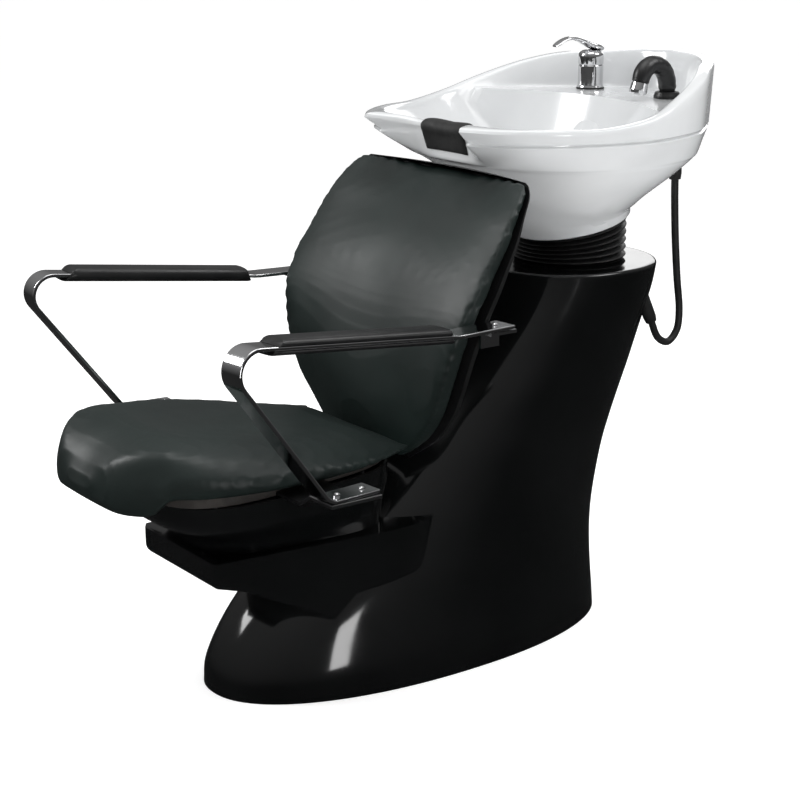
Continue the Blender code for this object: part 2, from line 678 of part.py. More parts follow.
def soft_max(a, b, width):
    gap = max(-1.0, min(1.0, (a - b) / width))
    return b + (a - b) * (gap + 1) / 2 + width * (1 - gap * gap) / 4


def basin_wall(rim, reach, sink=0.0):
    """A point on the basin's inner wall. Reach is 1 at its upper edge and 0 at the drain."""
    edge = basin_edge(rim)
    x = DRAIN.x + (edge.x - DRAIN.x) * reach
    y = DRAIN.y + (edge.y - DRAIN.y) * reach
    power = 1.6 + min(1.0, max(0.0, (rim.y - 0.05) / 0.15)) + 5.0 * towards_rear(rim)
    hollow = DRAIN.z + (edge.z - DRAIN.z) * reach ** power
    deck = DECK_HEIGHT - max(0.0, DECK_FRONT - DECK_BEND * x * x - y) * DECK_SLOPE
    return Vector((x, y, soft_max(hollow, deck, 0.006) - sink))


# Rim section: how far across from the outer face to the basin's edge, and how far below the crest.
LIP = [(0.00, 0.0075), (0.07, 0.0020), (0.28, 0.0), (0.62, 0.0002), (0.90, 0.0030)]


def outer_profile(rim):
    """The outer face under a rim point, from the top down to just above the foot."""
    fade = 1.0 - at_recess(rim)
    wall = inward(rim, 0.003 + 0.002 * fade)
    profile = [rim - Vector((0.0, 0.0, 0.0075))]
    for height, inset in ((GROOVE_HEIGHT + 0.0030, 0.0), (GROOVE_HEIGHT + 0.0006, GROOVE_DEPTH),
                          (GROOVE_HEIGHT - 0.0012, GROOVE_DEPTH), (GROOVE_HEIGHT - 0.0040, 0.0005)):
        point = inward(wall, inset * fade + HORN_UNDERCUT * horn(rim))
        profile.append(Vector((point.x, point.y, height)))
    belly = [belly_point(rim, level) for level in BELLY_LEVELS]
    wall = inward(wall, HORN_UNDERCUT * horn(rim))
    middle = wall + (belly[0] - wall) * SHOULDER
    profile.append(Vector((middle.x, middle.y, (GROOVE_HEIGHT + belly[0].z) / 2)))
    return profile + belly


BASIN_STEPS = (0.988, 0.975, 0.955, 0.930)
BASIN_END = 0.21


def reach_of_line(rim, ahead):
    """How far out towards a rim point the curved line that lies so far behind the drain is met."""
    edge = basin_edge(rim)
    across, along = edge.x - DRAIN.x, edge.y - DRAIN.y
    bend = DECK_BEND * across * across
    if bend < 1e-5:
        return ahead / along if along > 0 else 1.0
    return (-along + math.sqrt(along * along + 4 * bend * ahead)) / (2 * bend)


def basin_steps(rim):
    """Where the basin's rings cross this section: close together at the edge and at the deck's front ridge."""
    ridge = min(0.90, reach_of_line(rim, DECK_FRONT - DRAIN.y))
    foot = min(0.62, reach_of_line(rim, DECK_FRONT - DRAIN.y - (DECK_HEIGHT - DRAIN.z) / DECK_SLOPE))
    steps = list(BASIN_STEPS)
    steps += [0.93 + (ridge - 0.93) * part for part in (0.35, 0.70)]
    steps += [ridge, ridge + (foot - ridge) * 0.12, ridge + (foot - ridge) * 0.50, foot]
    steps += [foot + (BASIN_END - foot) * part for part in (0.35, 0.70, 1.0)]
    return steps


def along_line(line, at):
    """The point at a fractional index of a line."""
    index = min(int(at), len(line) - 2)
    return line[index] + (line[index + 1] - line[index]) * (at - index)


def bowl_meridian(rim):
    """The closed section of the bowl under one rim point: outside, lip, basin, drain and the hidden inner face."""
    outside = outer_profile(rim)
    edge = basin_edge(rim)
    section = [foot_point(rim, FOOT_RADIUS, 0.012)] + outside[::-1]
    section += [rim + (edge - rim) * across - Vector((0.0, 0.0, drop - 0.007 * across)) for across, drop in LIP[1:]]
    section += [basin_wall(rim, reach) for reach in basin_steps(rim)]
    away = Vector((edge.x - DRAIN.x, edge.y - DRAIN.y)).normalized() * DRAIN_HOLE_RADIUS
    for drop, factor in ((0.0, 1.0), (0.012, 1.0), (0.012, 1.5)):
        section.append(Vector((DRAIN.x + away.x * factor, DRAIN.y + away.y * factor, DRAIN.z - drop)))
    rear = towards_rear(rim)
    section += [basin_wall(rim, front + (back - front) * rear, 0.012)
                for front, back in ((0.38, 0.38), (0.44, 0.50), (0.50, 0.62), (0.56, 0.75), (0.62, 0.87))]
    section += [inward(along_line(outside, front + (back - front) * rear), 0.012) + Vector((0.0, 0.0, 0.004))
                for front, back in ((9.0, 5.6), (9.5, 7.2), (10.0, 8.8), (10.5, 10.0), (11.0, 11.0))]
    section.append(foot_point(rim, FOOT_RADIUS - FOOT_WALL, 0.016))
    section.append(foot_point(rim, FOOT_RADIUS - FOOT_WALL))
    section.append(foot_point(rim, FOOT_RADIUS))
    return section


def bowl_mesh():
    """The sections joined all the way round."""
    return loft(bmesh.new(), [bowl_meridian(rim) for rim in rim_points()], loop=True)


def bowl_solid(grow):
    """The bowl's outer form below its groove as a closed solid, for cutting its neighbours."""
    rings = []
    for rim in rim_points():
        outside = [inward(point, -grow) - Vector((0.0, 0.0, grow)) for point in outer_profile(rim)[5:]]
        rings.append([foot_point(rim, FOOT_RADIUS + grow, -grow)] + outside[::-1])
    levels = list(zip(*rings))
    return loft(bmesh.new(), levels, close_start=True, close_end=True)


def make_bowl(shop):
    bowl = shop.add("bowl", bowl_mesh(), "ceramic", 50.0)
    tap_hole = cylinder_mesh(0.0165, 0.030, (TAP.x, TAP.y, DECK_HEIGHT - 0.01), "Z", 24)
    boolean(bowl, shop.cutter("tap_hole", tap_hole))
    nut_relief = cylinder_mesh(0.0235, 0.018, (TAP.x, TAP.y, DECK_HEIGHT - 0.0220), "Z", 24)
    boolean(bowl, shop.cutter("nut_relief", nut_relief))
    spray_hole = cylinder_mesh(0.0145, 0.030, (SPRAY.x, SPRAY.y, DECK_HEIGHT - 0.01), "Z", 24)
    boolean(bowl, shop.cutter("spray_hole", spray_hole))


def make_neck_rest(shop):
    """A soft saddle over the lip of the neck recess, offset from the bowl's own section."""
    near = 0.0010
    far = 0.0065
    rims = rim_points()
    rests = [rim for rim in rims if rim.y < 0.2 and abs(rim.x) < 0.066]
    rests.sort(key=lambda rim: rim.x)
    rings = []
    for index, rim in enumerate(rests):
        edge = basin_edge(rim)
        outside = outer_profile(rim)
        line = [along_line(outside, 5.4), outside[5], outside[4], outside[0]]
        line += [rim + (edge - rim) * across - Vector((0.0, 0.0, drop - 0.007 * across)) for across, drop in LIP[1:]]
        line += [basin_wall(rim, reach) for reach in BASIN_STEPS[:4]]
        ends = far if 0 < index < len(rests) - 1 else far * 0.62
        rings.append(offset_line(line, near) + offset_line(line, ends)[::-1])
    shop.add("neck_rest", loft(bmesh.new(), rings, True, True), "rubber", 60.0)


def offset_line(line, distance):
    """A line moved off the bowl: forwards, then up, then into the basin."""
    moved = []
    for index, point in enumerate(line):
        along = line[min(len(line) - 1, index + 1)] - line[max(0, index - 1)]
        normal = along.cross(Vector((1.0, 0.0, 0.0))).normalized()
        moved.append(point - normal * distance)
    return moved


BELLOWS_FOLDS = 6
BELLOWS_OUTER = 0.0985
BELLOWS_INNER = 0.0885


def make_bellows(shop):
    """A folded rubber sleeve from the pedestal's top up to the bowl's sloping foot."""
    count = 2 * BELLOWS_FOLDS + 1
    outer = []
    for level in range(count):
        outer.append(((BELLOWS_INNER, BELLOWS_OUTER)[level % 2], level / (count - 1)))
    profile = [(BELLOWS_INNER + 0.006, 0.0)] + outer[1:-1] + [(BELLOWS_INNER + 0.006, 1.0)]
    profile += [(BELLOWS_INNER - 0.003, 1.0), (BELLOWS_INNER - 0.003, 0.0)]
    rings = []
    for radius, rise in profile:
        ring = []
        for i in range(36):
            angle = 2 * math.pi * i / 36
            y = BOWL_CENTRE_Y + radius * math.sin(angle)
            low = PEDESTAL_TOP + GAP
            ring.append((radius * math.cos(angle), y, low + (foot_face(y) - GAP - low) * rise))
        rings.append(ring)
    shop.add("bellows", loft(bmesh.new(), rings, loop=True), "rubber", 20.0)


def make_tilt_mount(shop):
    """The forked mount on the top plate, the head under the bowl and the pin through both."""
    base = box_mesh((-0.050, 0.332, 0.622 + GAP), (0.050, 0.392, 0.629))
    mount = shop.add("tilt_mount", base, "steel")
    for name, low, high in (("left", -0.046, -0.034), ("right", 0.034, 0.046)):
        ear = box_mesh((low, 0.337, 0.626), (high, 0.369, PIN_HEIGHT + 0.012))
        boolean(mount, shop.cutter(f"mount_ear_{name}", ear), "UNION")
    bore = cylinder_mesh(PIN_RADIUS + PIN_CLEARANCE, 0.12, (0.0, BOWL_CENTRE_Y, PIN_HEIGHT), "X", 24)
    boolean(mount, shop.cutter("mount_bore", bore))
    slope = math.atan(FOOT_SLOPE)
    disc = cylinder_mesh(0.0900, 0.008, (0.0, 0.0, 0.0), "Z", 40)
    disc.transform(Matrix.Translation((0.0, BOWL_CENTRE_Y, FOOT_HEIGHT + 0.006)) @ Matrix.Rotation(slope, 4, "X"))
    head = shop.add("tilt_head", disc, "steel")
    block = box_mesh((-0.0330, 0.343, PIN_HEIGHT - 0.012), (0.0330, 0.363, FOOT_HEIGHT + 0.006))
    boolean(head, shop.cutter("head_block", block), "UNION")
    boolean(head, shop.cutter("head_bore", cylinder_mesh(PIN_RADIUS + PIN_CLEARANCE, 0.12,
                                                         (0.0, BOWL_CENTRE_Y, PIN_HEIGHT), "X", 24)))
    outlet = cylinder_mesh(0.026, 0.08, (0.0, DRAIN.y, FOOT_HEIGHT), "Z", 24)
    boolean(head, shop.cutter("head_outlet", outlet))
    pin = cylinder_mesh(PIN_RADIUS, 0.104, (0.0, BOWL_CENTRE_Y, PIN_HEIGHT), "X", 24)
    shop.add("tilt_pin", pin, "steel")


def make_drain(shop):
    """The flanged outlet with its tail, and the lift-out strainer."""
    top = DRAIN.z + 0.0060
    profile = [(0.0258, top), (0.0272, top - 0.0010), (0.0272, top - 0.0022), (0.0232, top - 0.0022),
               (0.0232, DRAIN.z - 0.034), (0.0200, DRAIN.z - 0.034), (0.0200, top - 0.0060), (0.0232, top - 0.0008),
               (0.0258, top)]
    turned(shop, "drain_flange", profile, "chrome", Matrix.Translation((DRAIN.x, DRAIN.y, 0.0)), 32)
    low = top - 0.0058
    cup = [(0.0, low + 0.0050), (0.0130, low + 0.0046), (0.0190, low + 0.0030), (0.0194, low + 0.0012),
           (0.0190, low), (0.0, low)]
    turned(shop, "strainer", cup, "chrome", Matrix.Translation((DRAIN.x, DRAIN.y, 0.0004)), 28)


def make_mixer(shop):
    """The single-lever tap: gasket, body, turning cap, lever and the nut under the deck."""
    place = Matrix.Translation(TAP)
    ring = [(0.0250, 0.0022), (0.0250, 0.0), (0.0172, 0.0), (0.0172, 0.0022), (0.0250, 0.0022)]
    turned(shop, "mixer_gasket", ring, "rubber", place, 32)
    body = [(0.0, 0.0420), (0.0215, 0.0420), (0.0225, 0.0410), (0.0228, 0.0060), (0.0240, 0.0030),
            (0.0240, 0.0022 + GAP), (0.0158, 0.0022 + GAP), (0.0158, -0.0300), (0.0, -0.0300)]
    turned(shop, "mixer_body", body, "chrome", place, 32)
    cap = [(0.0, 0.0690), (0.0080, 0.0686), (0.0165, 0.0668), (0.0212, 0.0632), (0.0228, 0.0580),
           (0.0226, 0.0434), (0.0216, 0.0424), (0.0, 0.0424)]
    turned(shop, "mixer_cap", cap, "chrome", place, 32)
    nut = cylinder_mesh(0.0192, 0.004, (TAP.x, TAP.y, DECK_HEIGHT - 0.0165), "Z", 6)
    made = shop.add("mixer_nut", nut, "brass")
    bore = cylinder_mesh(0.0160, 0.03, (TAP.x, TAP.y, DECK_HEIGHT - 0.0190), "Z", 24)
    boolean(made, shop.cutter("nut_bore", bore))
    make_lever(shop)


LEVER_AXIS = Vector((TAP.x, TAP.y + 0.011, TAP.z + 0.0735))


def make_lever(shop):
    """A flat handle that rises off the cap and reaches forwards over the basin."""
    # Along the lever: distance ahead of its hinge, height above it, half width, half thickness.
    stations = [
        (-0.0035, 0.0000, 0.0060, 0.0012), (0.0000, 0.0000, 0.0085, 0.0033), (0.0100, 0.0010, 0.0100, 0.0042),
        (0.0200, 0.0045, 0.0095, 0.0040), (0.0340, 0.0110, 0.0082, 0.0034), (0.0500, 0.0165, 0.0076, 0.0030),
        (0.0660, 0.0170, 0.0078, 0.0028), (0.0800, 0.0130, 0.0086, 0.0028), (0.0920, 0.0070, 0.0088, 0.0026),
        (0.0970, 0.0045, 0.0066, 0.0014),
    ]
    rings = []
    for ahead, up, half, thick in stations:
        ring = []
        for i in range(12):
            angle = 2 * math.pi * i / 12
            c, s = math.cos(angle), math.sin(angle)
            across = half * math.copysign(abs(c) ** 0.6, c)
            ring.append((LEVER_AXIS.x + across, LEVER_AXIS.y - ahead, LEVER_AXIS.z + up + thick * s))
        rings.append(ring)
    shop.add("mixer_lever", loft(bmesh.new(), rings, True, True), "chrome", 50.0)


def make_spray(shop):
    """The socket in the deck and the arched hand spray that stands in it."""
    socket = [(0.0180, 0.0110), (0.0205, 0.0100), (0.0228, 0.0040), (0.0230, 0.0), (0.0138, 0.0),
              (0.0138, -0.0200), (0.0118, -0.0200), (0.0118, 0.0020), (0.0146, 0.0030), (0.0146, 0.0106),
              (0.0180, 0.0110)]
    turned(shop, "spray_socket", socket, "black_plastic", Matrix.Translation(SPRAY), 32)
    route = [
        (SPRAY.y, SPRAY.z + 0.0035), (0.4775, 0.926), (0.4745, 0.940), (0.4670, 0.953), (0.4550, 0.9610),
        (0.4400, 0.9635), (0.4265, 0.9580), (0.4180, 0.9480), (0.4140, 0.9360),
    ]
    line = smooth_path([Vector((SPRAY.x, y, z)) for y, z in route], 0.006)
    radii = []
    for index in range(len(line)):
        along = index / (len(line) - 1)
        swell = min(1.0, max(0.0, (along - 0.06) / 0.06)) - 0.4 * max(0.0, (along - 0.88) / 0.12)
        radii.append(1.02 + 0.22 * swell)
    tube(shop, "spray_head", line, 0.0125, "black_plastic", 4, radii)
    aim = (line[-1] - line[-2]).normalized()
    turn = Vector((0.0, 0.0, -1.0)).rotation_difference(aim).to_matrix().to_4x4()
    nozzle = [(0.0, -GAP), (0.0122, -GAP), (0.0136, -0.0020), (0.0150, -0.0150), (0.0140, -0.0200),
              (0.0128, -0.0200), (0.0120, -0.0180), (0.0, -0.0180)]
    turned(shop, "spray_nozzle", nozzle, "chrome", Matrix.Translation(line[-1]) @ turn, 28)


def hose_points():
    return smooth_path([Vector((HOSE_X, y, z)) for y, z in HOSE_ROUTE], 0.012)


def make_hose(shop):
    """The hand spray's supply hose with the fitting at each end."""
    line = hose_points()
    tube(shop, "spray_hose", line, HOSE_RADIUS, "rubber", 3)
    for name, end, aim, form in (
        ("hose_gland", line[0], line[0] - line[1], bowl_solid(GAP)),
        ("hose_grommet", line[-1], line[-1] - line[-2], pedestal_solid(GAP)),
    ):
        turn = Vector((0.0, 0.0, 1.0)).rotation_difference(aim).to_matrix().to_4x4()
        body = [(0.0, 0.0420), (0.0115, 0.0420), (0.0115, 0.0020), (0.0100, -0.0080), (HOSE_RADIUS + GAP, -0.0080),
                (HOSE_RADIUS + GAP, 0.0005), (0.0, 0.0005)]
        fitting = turned(shop, name, body, "rubber", Matrix.Translation(end) @ turn, 24)
        boolean(fitting, shop.cutter(f"{name}_seat", form))


def main():
    clear_scene()
    shop = Workshop()
    make_pedestal(shop)
    make_rear_panel(shop)
    make_floor_plate(shop)
    make_frame(shop)
    make_tray(shop)
    make_seat_pan(shop)
    make_seat_board(shop)
    make_seat_cushion(shop)
    make_back(shop)
    make_outrigger(shop)
    for side, name in ((1, "right"), (-1, "left")):
        make_arm_bar(shop, side, name)
        make_arm_pad(shop, side, name)
        make_arm_bracket(shop, side, name)
        make_arm_fixings(shop, side, name)
    make_bowl(shop)
    make_neck_rest(shop)
    make_bellows(shop)
    make_tilt_mount(shop)
    make_drain(shop)
    make_mixer(shop)
    make_spray(shop)
    make_hose(shop)


main()
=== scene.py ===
"""Looks for the shampoo backwash unit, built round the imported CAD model.

Metres, +Z up, the sitter faces -Y. Shapes repeat the CAD's own dimensions with finer steps.
"""

import math

import bmesh
import bpy
import numpy as np
from mathutils import Matrix, Vector


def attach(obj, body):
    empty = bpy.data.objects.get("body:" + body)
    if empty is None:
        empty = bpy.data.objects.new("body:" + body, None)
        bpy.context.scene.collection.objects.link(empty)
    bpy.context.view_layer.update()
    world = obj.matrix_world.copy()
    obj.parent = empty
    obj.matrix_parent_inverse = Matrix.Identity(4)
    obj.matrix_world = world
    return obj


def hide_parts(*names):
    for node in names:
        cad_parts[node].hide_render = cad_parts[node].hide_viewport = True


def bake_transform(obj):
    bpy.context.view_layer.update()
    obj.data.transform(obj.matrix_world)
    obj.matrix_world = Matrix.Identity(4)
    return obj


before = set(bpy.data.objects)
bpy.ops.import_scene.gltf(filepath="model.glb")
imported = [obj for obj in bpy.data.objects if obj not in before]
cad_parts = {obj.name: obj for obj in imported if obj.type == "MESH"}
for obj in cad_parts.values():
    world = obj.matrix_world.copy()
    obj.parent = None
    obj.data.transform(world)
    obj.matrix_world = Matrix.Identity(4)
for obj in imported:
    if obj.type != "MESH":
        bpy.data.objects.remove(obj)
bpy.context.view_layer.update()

# ---------------------------------------------------------------- dimensions, as in the CAD

PEDESTAL_TOP = 0.630
PEDESTAL_WALL = 0.005
PEDESTAL_LEVELS = [
    (0.000, -0.390, 0.393, 0.176), (0.040, -0.385, 0.390, 0.173), (0.100, -0.352, 0.386, 0.163),
    (0.160, -0.298, 0.385, 0.154), (0.220, -0.218, 0.390, 0.147), (0.300, -0.118, 0.405, 0.142),
    (0.350, -0.062, 0.420, 0.141), (0.400, -0.010, 0.438, 0.141), (0.450, 0.039, 0.455, 0.144),
    (0.500, 0.085, 0.470, 0.147), (0.550, 0.128, 0.483, 0.152), (0.590, 0.156, 0.493, 0.156),
    (0.624, 0.174, 0.498, 0.158),
]
TOP_EDGE_RADIUS = 0.006
TOP_HOLE_RADIUS = 0.083
PANEL_LOW = Vector((-0.075, 0.30, 0.070))
PANEL_HIGH = Vector((0.075, 0.60, 0.330))

BOWL_CENTRE_Y = 0.353
RIM_CENTRE = Vector((0.0, 0.300, 0.0))
RIM_SIDE = [
    (0.000, 0.600, 0.976), (0.075, 0.589, 0.973), (0.138, 0.549, 0.968), (0.188, 0.493, 0.965),
    (0.232, 0.434, 0.951), (0.263, 0.362, 0.928), (0.279, 0.282, 0.902), (0.265, 0.196, 0.889),
    (0.232, 0.115, 0.889), (0.180, 0.047, 0.890), (0.127, 0.004, 0.892),
]
RIM_RECESS = [(0.127, 0.004, 0.892), (0.100, 0.030, 0.888), (0.070, 0.063, 0.881), (0.036, 0.076, 0.878),
              (0.000, 0.078, 0.876)]
SIDE_STEPS = 70
RECESS_STEPS = 30
RIM_WIDTH = 0.025
HORN_EXTRA = 0.028
HORN_UNDERCUT = 0.020
GROOVE_HEIGHT = 0.864
GROOVE_DEPTH = 0.004
BELLY_LEVELS = [
    (0.822, 0.2440, 0.086, 0.5520, 2.7), (0.816, 0.2395, 0.096, 0.5460, 2.6), (0.808, 0.2330, 0.112, 0.5370, 2.5),
    (0.784, 0.2095, 0.146, 0.5050, 2.3), (0.752, 0.1700, 0.184, 0.4670, 2.1), (0.728, 0.1370, 0.216, 0.4540, 2.0),
]
SHOULDER = 0.42
FOOT_RADIUS = 0.104
FOOT_WALL = 0.011
FOOT_HEIGHT = 0.694
FOOT_SLOPE = 0.220
DRAIN = Vector((0.0, 0.300, 0.752))
DRAIN_HOLE_RADIUS = 0.024
DECK_HEIGHT = 0.905
DECK_FRONT = 0.405
DECK_BEND = 1.5
DECK_SLOPE = 3.2
TAP = Vector((-0.100, 0.483, DECK_HEIGHT + 0.0008))
SPRAY = Vector((0.100, 0.478, DECK_HEIGHT + 0.0008))

HOSE_X = 0.100
HOSE_RADIUS = 0.0065
HOSE_ROUTE = [
    (0.5050, 0.7720), (0.5070, 0.7250), (0.5120, 0.6600), (0.5200, 0.5900), (0.5290, 0.5300), (0.5250, 0.4920),
    (0.5030, 0.4730), (0.4780, 0.4850), (0.4650, 0.5080), (0.4570, 0.5240),
]

BACK_SHELL_WIDTH = 0.985
BACK_LEVELS = [
    (0.362, 0.098, -0.098, 0.026, 0.010, 0.003), (0.400, 0.150, -0.099, 0.038, 0.020, 0.007),
    (0.440, 0.184, -0.103, 0.043, 0.025, 0.010), (0.480, 0.207, -0.106, 0.045, 0.028, 0.012),
    (0.540, 0.229, -0.104, 0.045, 0.030, 0.014), (0.600, 0.245, -0.092, 0.044, 0.031, 0.016),
    (0.650, 0.250, -0.065, 0.041, 0.029, 0.018), (0.690, 0.248, -0.037, 0.037, 0.024, 0.020),
    (0.725, 0.246, -0.012, 0.033, 0.018, 0.023), (0.760, 0.240, 0.012, 0.028, 0.013, 0.026),
    (0.788, 0.231, 0.038, 0.022, 0.009, 0.029), (0.803, 0.220, 0.053, 0.016, 0.006, 0.030),
    (0.809, 0.210, 0.062, 0.010, 0.004, 0.030),
]
VOXEL = 0.0058
SPREAD_ROUNDS = 60
SEAT_BOTTOM = 0.3924
SEAT_LEVELS = [
    (-0.613, 0.060, 0.424, 0.392), (-0.607, 0.090, 0.440, 0.379), (-0.593, 0.118, 0.453, 0.369),
    (-0.573, 0.146, 0.462, 0.366), (-0.555, 0.166, 0.466, 0.372), (-0.543, 0.178, 0.466, SEAT_BOTTOM),
    (-0.500, 0.205, 0.462, SEAT_BOTTOM), (-0.430, 0.224, 0.453, SEAT_BOTTOM), (-0.350, 0.226, 0.440, SEAT_BOTTOM),
    (-0.270, 0.214, 0.425, SEAT_BOTTOM), (-0.195, 0.190, 0.411, SEAT_BOTTOM), (-0.145, 0.168, 0.404, SEAT_BOTTOM),
    (-0.1045, 0.148, 0.400, SEAT_BOTTOM),
]
SEAT_NOSE = (-0.6160, 0.028, 0.414, 0.403)
SEAT_DISH = 0.020
SEAT_PUFF = 0.004
TRAY_LEVELS = [
    (-0.445, 0.106, 0.228, 0.264), (-0.438, 0.116, 0.222, 0.266), (-0.390, 0.121, 0.208, 0.266),
    (-0.310, 0.129, 0.168, 0.266), (-0.240, 0.136, 0.130, 0.266), (-0.200, 0.140, 0.166, 0.266),
    (-0.130, 0.147, 0.174, 0.266), (-0.085, 0.145, 0.180, 0.266), (-0.020, 0.115, 0.190, 0.266),
]
BOARD_BOTTOM = 0.3783
PAN_LEVELS = [
    (-0.430, 0.104, 0.128, 0.2665), (-0.452, 0.126, 0.134, 0.292), (-0.492, 0.160, 0.146, 0.316),
    (-0.524, 0.190, 0.158, 0.340), (-0.531, 0.198, 0.162, BOARD_BOTTOM - 0.0016),
]
PAN_REAR = -0.107

ARM_REAR = Vector((0.2741, -0.0545, 0.0))
ARM_SPLAY = math.radians(4.7)
ARM_WIDTH = 0.043
ARM_THICK = 0.006
ARM_TAIL = [(-0.040, 0.6080), (0.066, 0.6090)]
ARM_TOP_REAR = (0.084, 0.6110)
ARM_TOP_FRONT = (0.4375, 0.6494)
ARM_LOOP_CENTRE = (0.4411, 0.6166)
ARM_LOOP_RADIUS = 0.0330
ARM_HEEL = (0.3200, 0.4050)
ARM_FOOT_END = (0.2300, 0.4050)
PAD_RANGE = (0.088, 0.4130)


# ---------------------------------------------------------------- camera and light

def make_camera():
    data = bpy.data.cameras.new("camera")
    data.sensor_width = 36.0
    data.lens = 81.13
    camera = bpy.data.objects.new("camera", data)
    camera.location = (2.3334, -1.7350, 1.2339)
    camera.rotation_euler = (math.radians(74.461), 0.0, math.radians(53.614))
    bpy.context.scene.collection.objects.link(camera)
    bpy.context.scene.camera = camera


def make_area(name, location, target, size, power, color=(1.0, 1.0, 1.0)):
    data = bpy.data.lights.new(name, "AREA")
    data.shape = "RECTANGLE"
    data.size, data.size_y = size
    data.energy = power
    data.color = color
    light = bpy.data.objects.new(name, data)
    light.location = location
    light.rotation_euler = (Vector(target) - Vector(location)).to_track_quat("-Z", "Y").to_euler()
    bpy.context.scene.collection.objects.link(light)


def make_studio():
    """Soft white light all round, with dim surroundings in reflections so that gloss stays deep."""
    world = bpy.data.worlds.new("studio")
    world.use_nodes = True
    nodes, links = world.node_tree.nodes, world.node_tree.links
    soft = nodes["Background"]
    soft.inputs["Color"].default_value = (1.0, 1.0, 1.0, 1.0)
    soft.inputs["Strength"].default_value = 0.62
    dim = nodes.new("ShaderNodeBackground")
    where = nodes.new("ShaderNodeTexCoord")
    split = nodes.new("ShaderNodeSeparateXYZ")
    rise = nodes.new("ShaderNodeMapRange")
    rise.inputs["From Min"].default_value = -0.15
    rise.inputs["From Max"].default_value = 0.85
    rise.inputs["To Min"].default_value = 0.03
    rise.inputs["To Max"].default_value = 0.50
    links.new(where.outputs["Generated"], split.inputs["Vector"])
    links.new(split.outputs["Z"], rise.inputs["Value"])
    links.new(rise.outputs["Result"], dim.inputs["Strength"])
    light_path = nodes.new("ShaderNodeLightPath")
    mix = nodes.new("ShaderNodeMixShader")
    links.new(light_path.outputs["Is Glossy Ray"], mix.inputs["Fac"])
    links.new(soft.outputs["Background"], mix.inputs[1])
    links.new(dim.outputs["Background"], mix.inputs[2])
    backdrop = nodes.new("ShaderNodeBackground")
    backdrop.inputs["Color"].default_value = (1.0, 1.0, 1.0, 1.0)
    seen = nodes.new("ShaderNodeMixShader")
    links.new(light_path.outputs["Is Camera Ray"], seen.inputs["Fac"])
    links.new(mix.outputs["Shader"], seen.inputs[1])
    links.new(backdrop.outputs["Background"], seen.inputs[2])
    links.new(seen.outputs["Shader"], nodes["World Output"].inputs["Surface"])
    bpy.context.scene.world = world
    make_area("key", (-1.9, -2.2, 2.3), (0.0, -0.1, 0.5), (1.1, 1.4), 50.0)
    make_area("overhead", (0.2, -0.1, 3.0), (0.0, 0.0, 0.5), (1.6, 2.0), 25.0)
    make_area("rear_side", (1.15, 1.15, 2.25), (0.0, 0.0, 0.5), (1.0, 0.8), 16.0)
    make_area("rear_fill", (-1.6, 2.6, 1.7), (0.0, 0.2, 0.5), (1.4, 1.4), 14.0)
    make_area("side_strip", (2.4, -0.4, 0.42), (0.0, 0.0, 0.30), (0.34, 0.62), 7.0)
    bpy.context.scene.view_settings.view_transform = "Standard"

    mesh = bpy.data.meshes.new("floor")
    mesh.from_pydata([(-60, -60, 0), (60, -60, 0), (60, 60, 0), (-60, 60, 0)], [], [(0, 1, 2, 3)])
    floor = bpy.data.objects.new("floor", mesh)
    paint = bpy.data.materials.new("pale_floor")
    paint.use_nodes = True
    shader = paint.node_tree.nodes["Principled BSDF"]
    shader.inputs["Base Color"].default_value = (0.96, 0.96, 0.96, 1.0)
    shader.inputs["Roughness"].default_value = 0.9
    shader.inputs["Emission Color"].default_value = (1.0, 1.0, 1.0, 1.0)
    shader.inputs["Emission Strength"].default_value = 0.42
    shader.inputs["Specular IOR Level"].default_value = 0.1
    mesh.materials.append(paint)
    bpy.context.scene.collection.objects.link(floor)
    floor.visible_glossy = False


# ---------------------------------------------------------------- materials

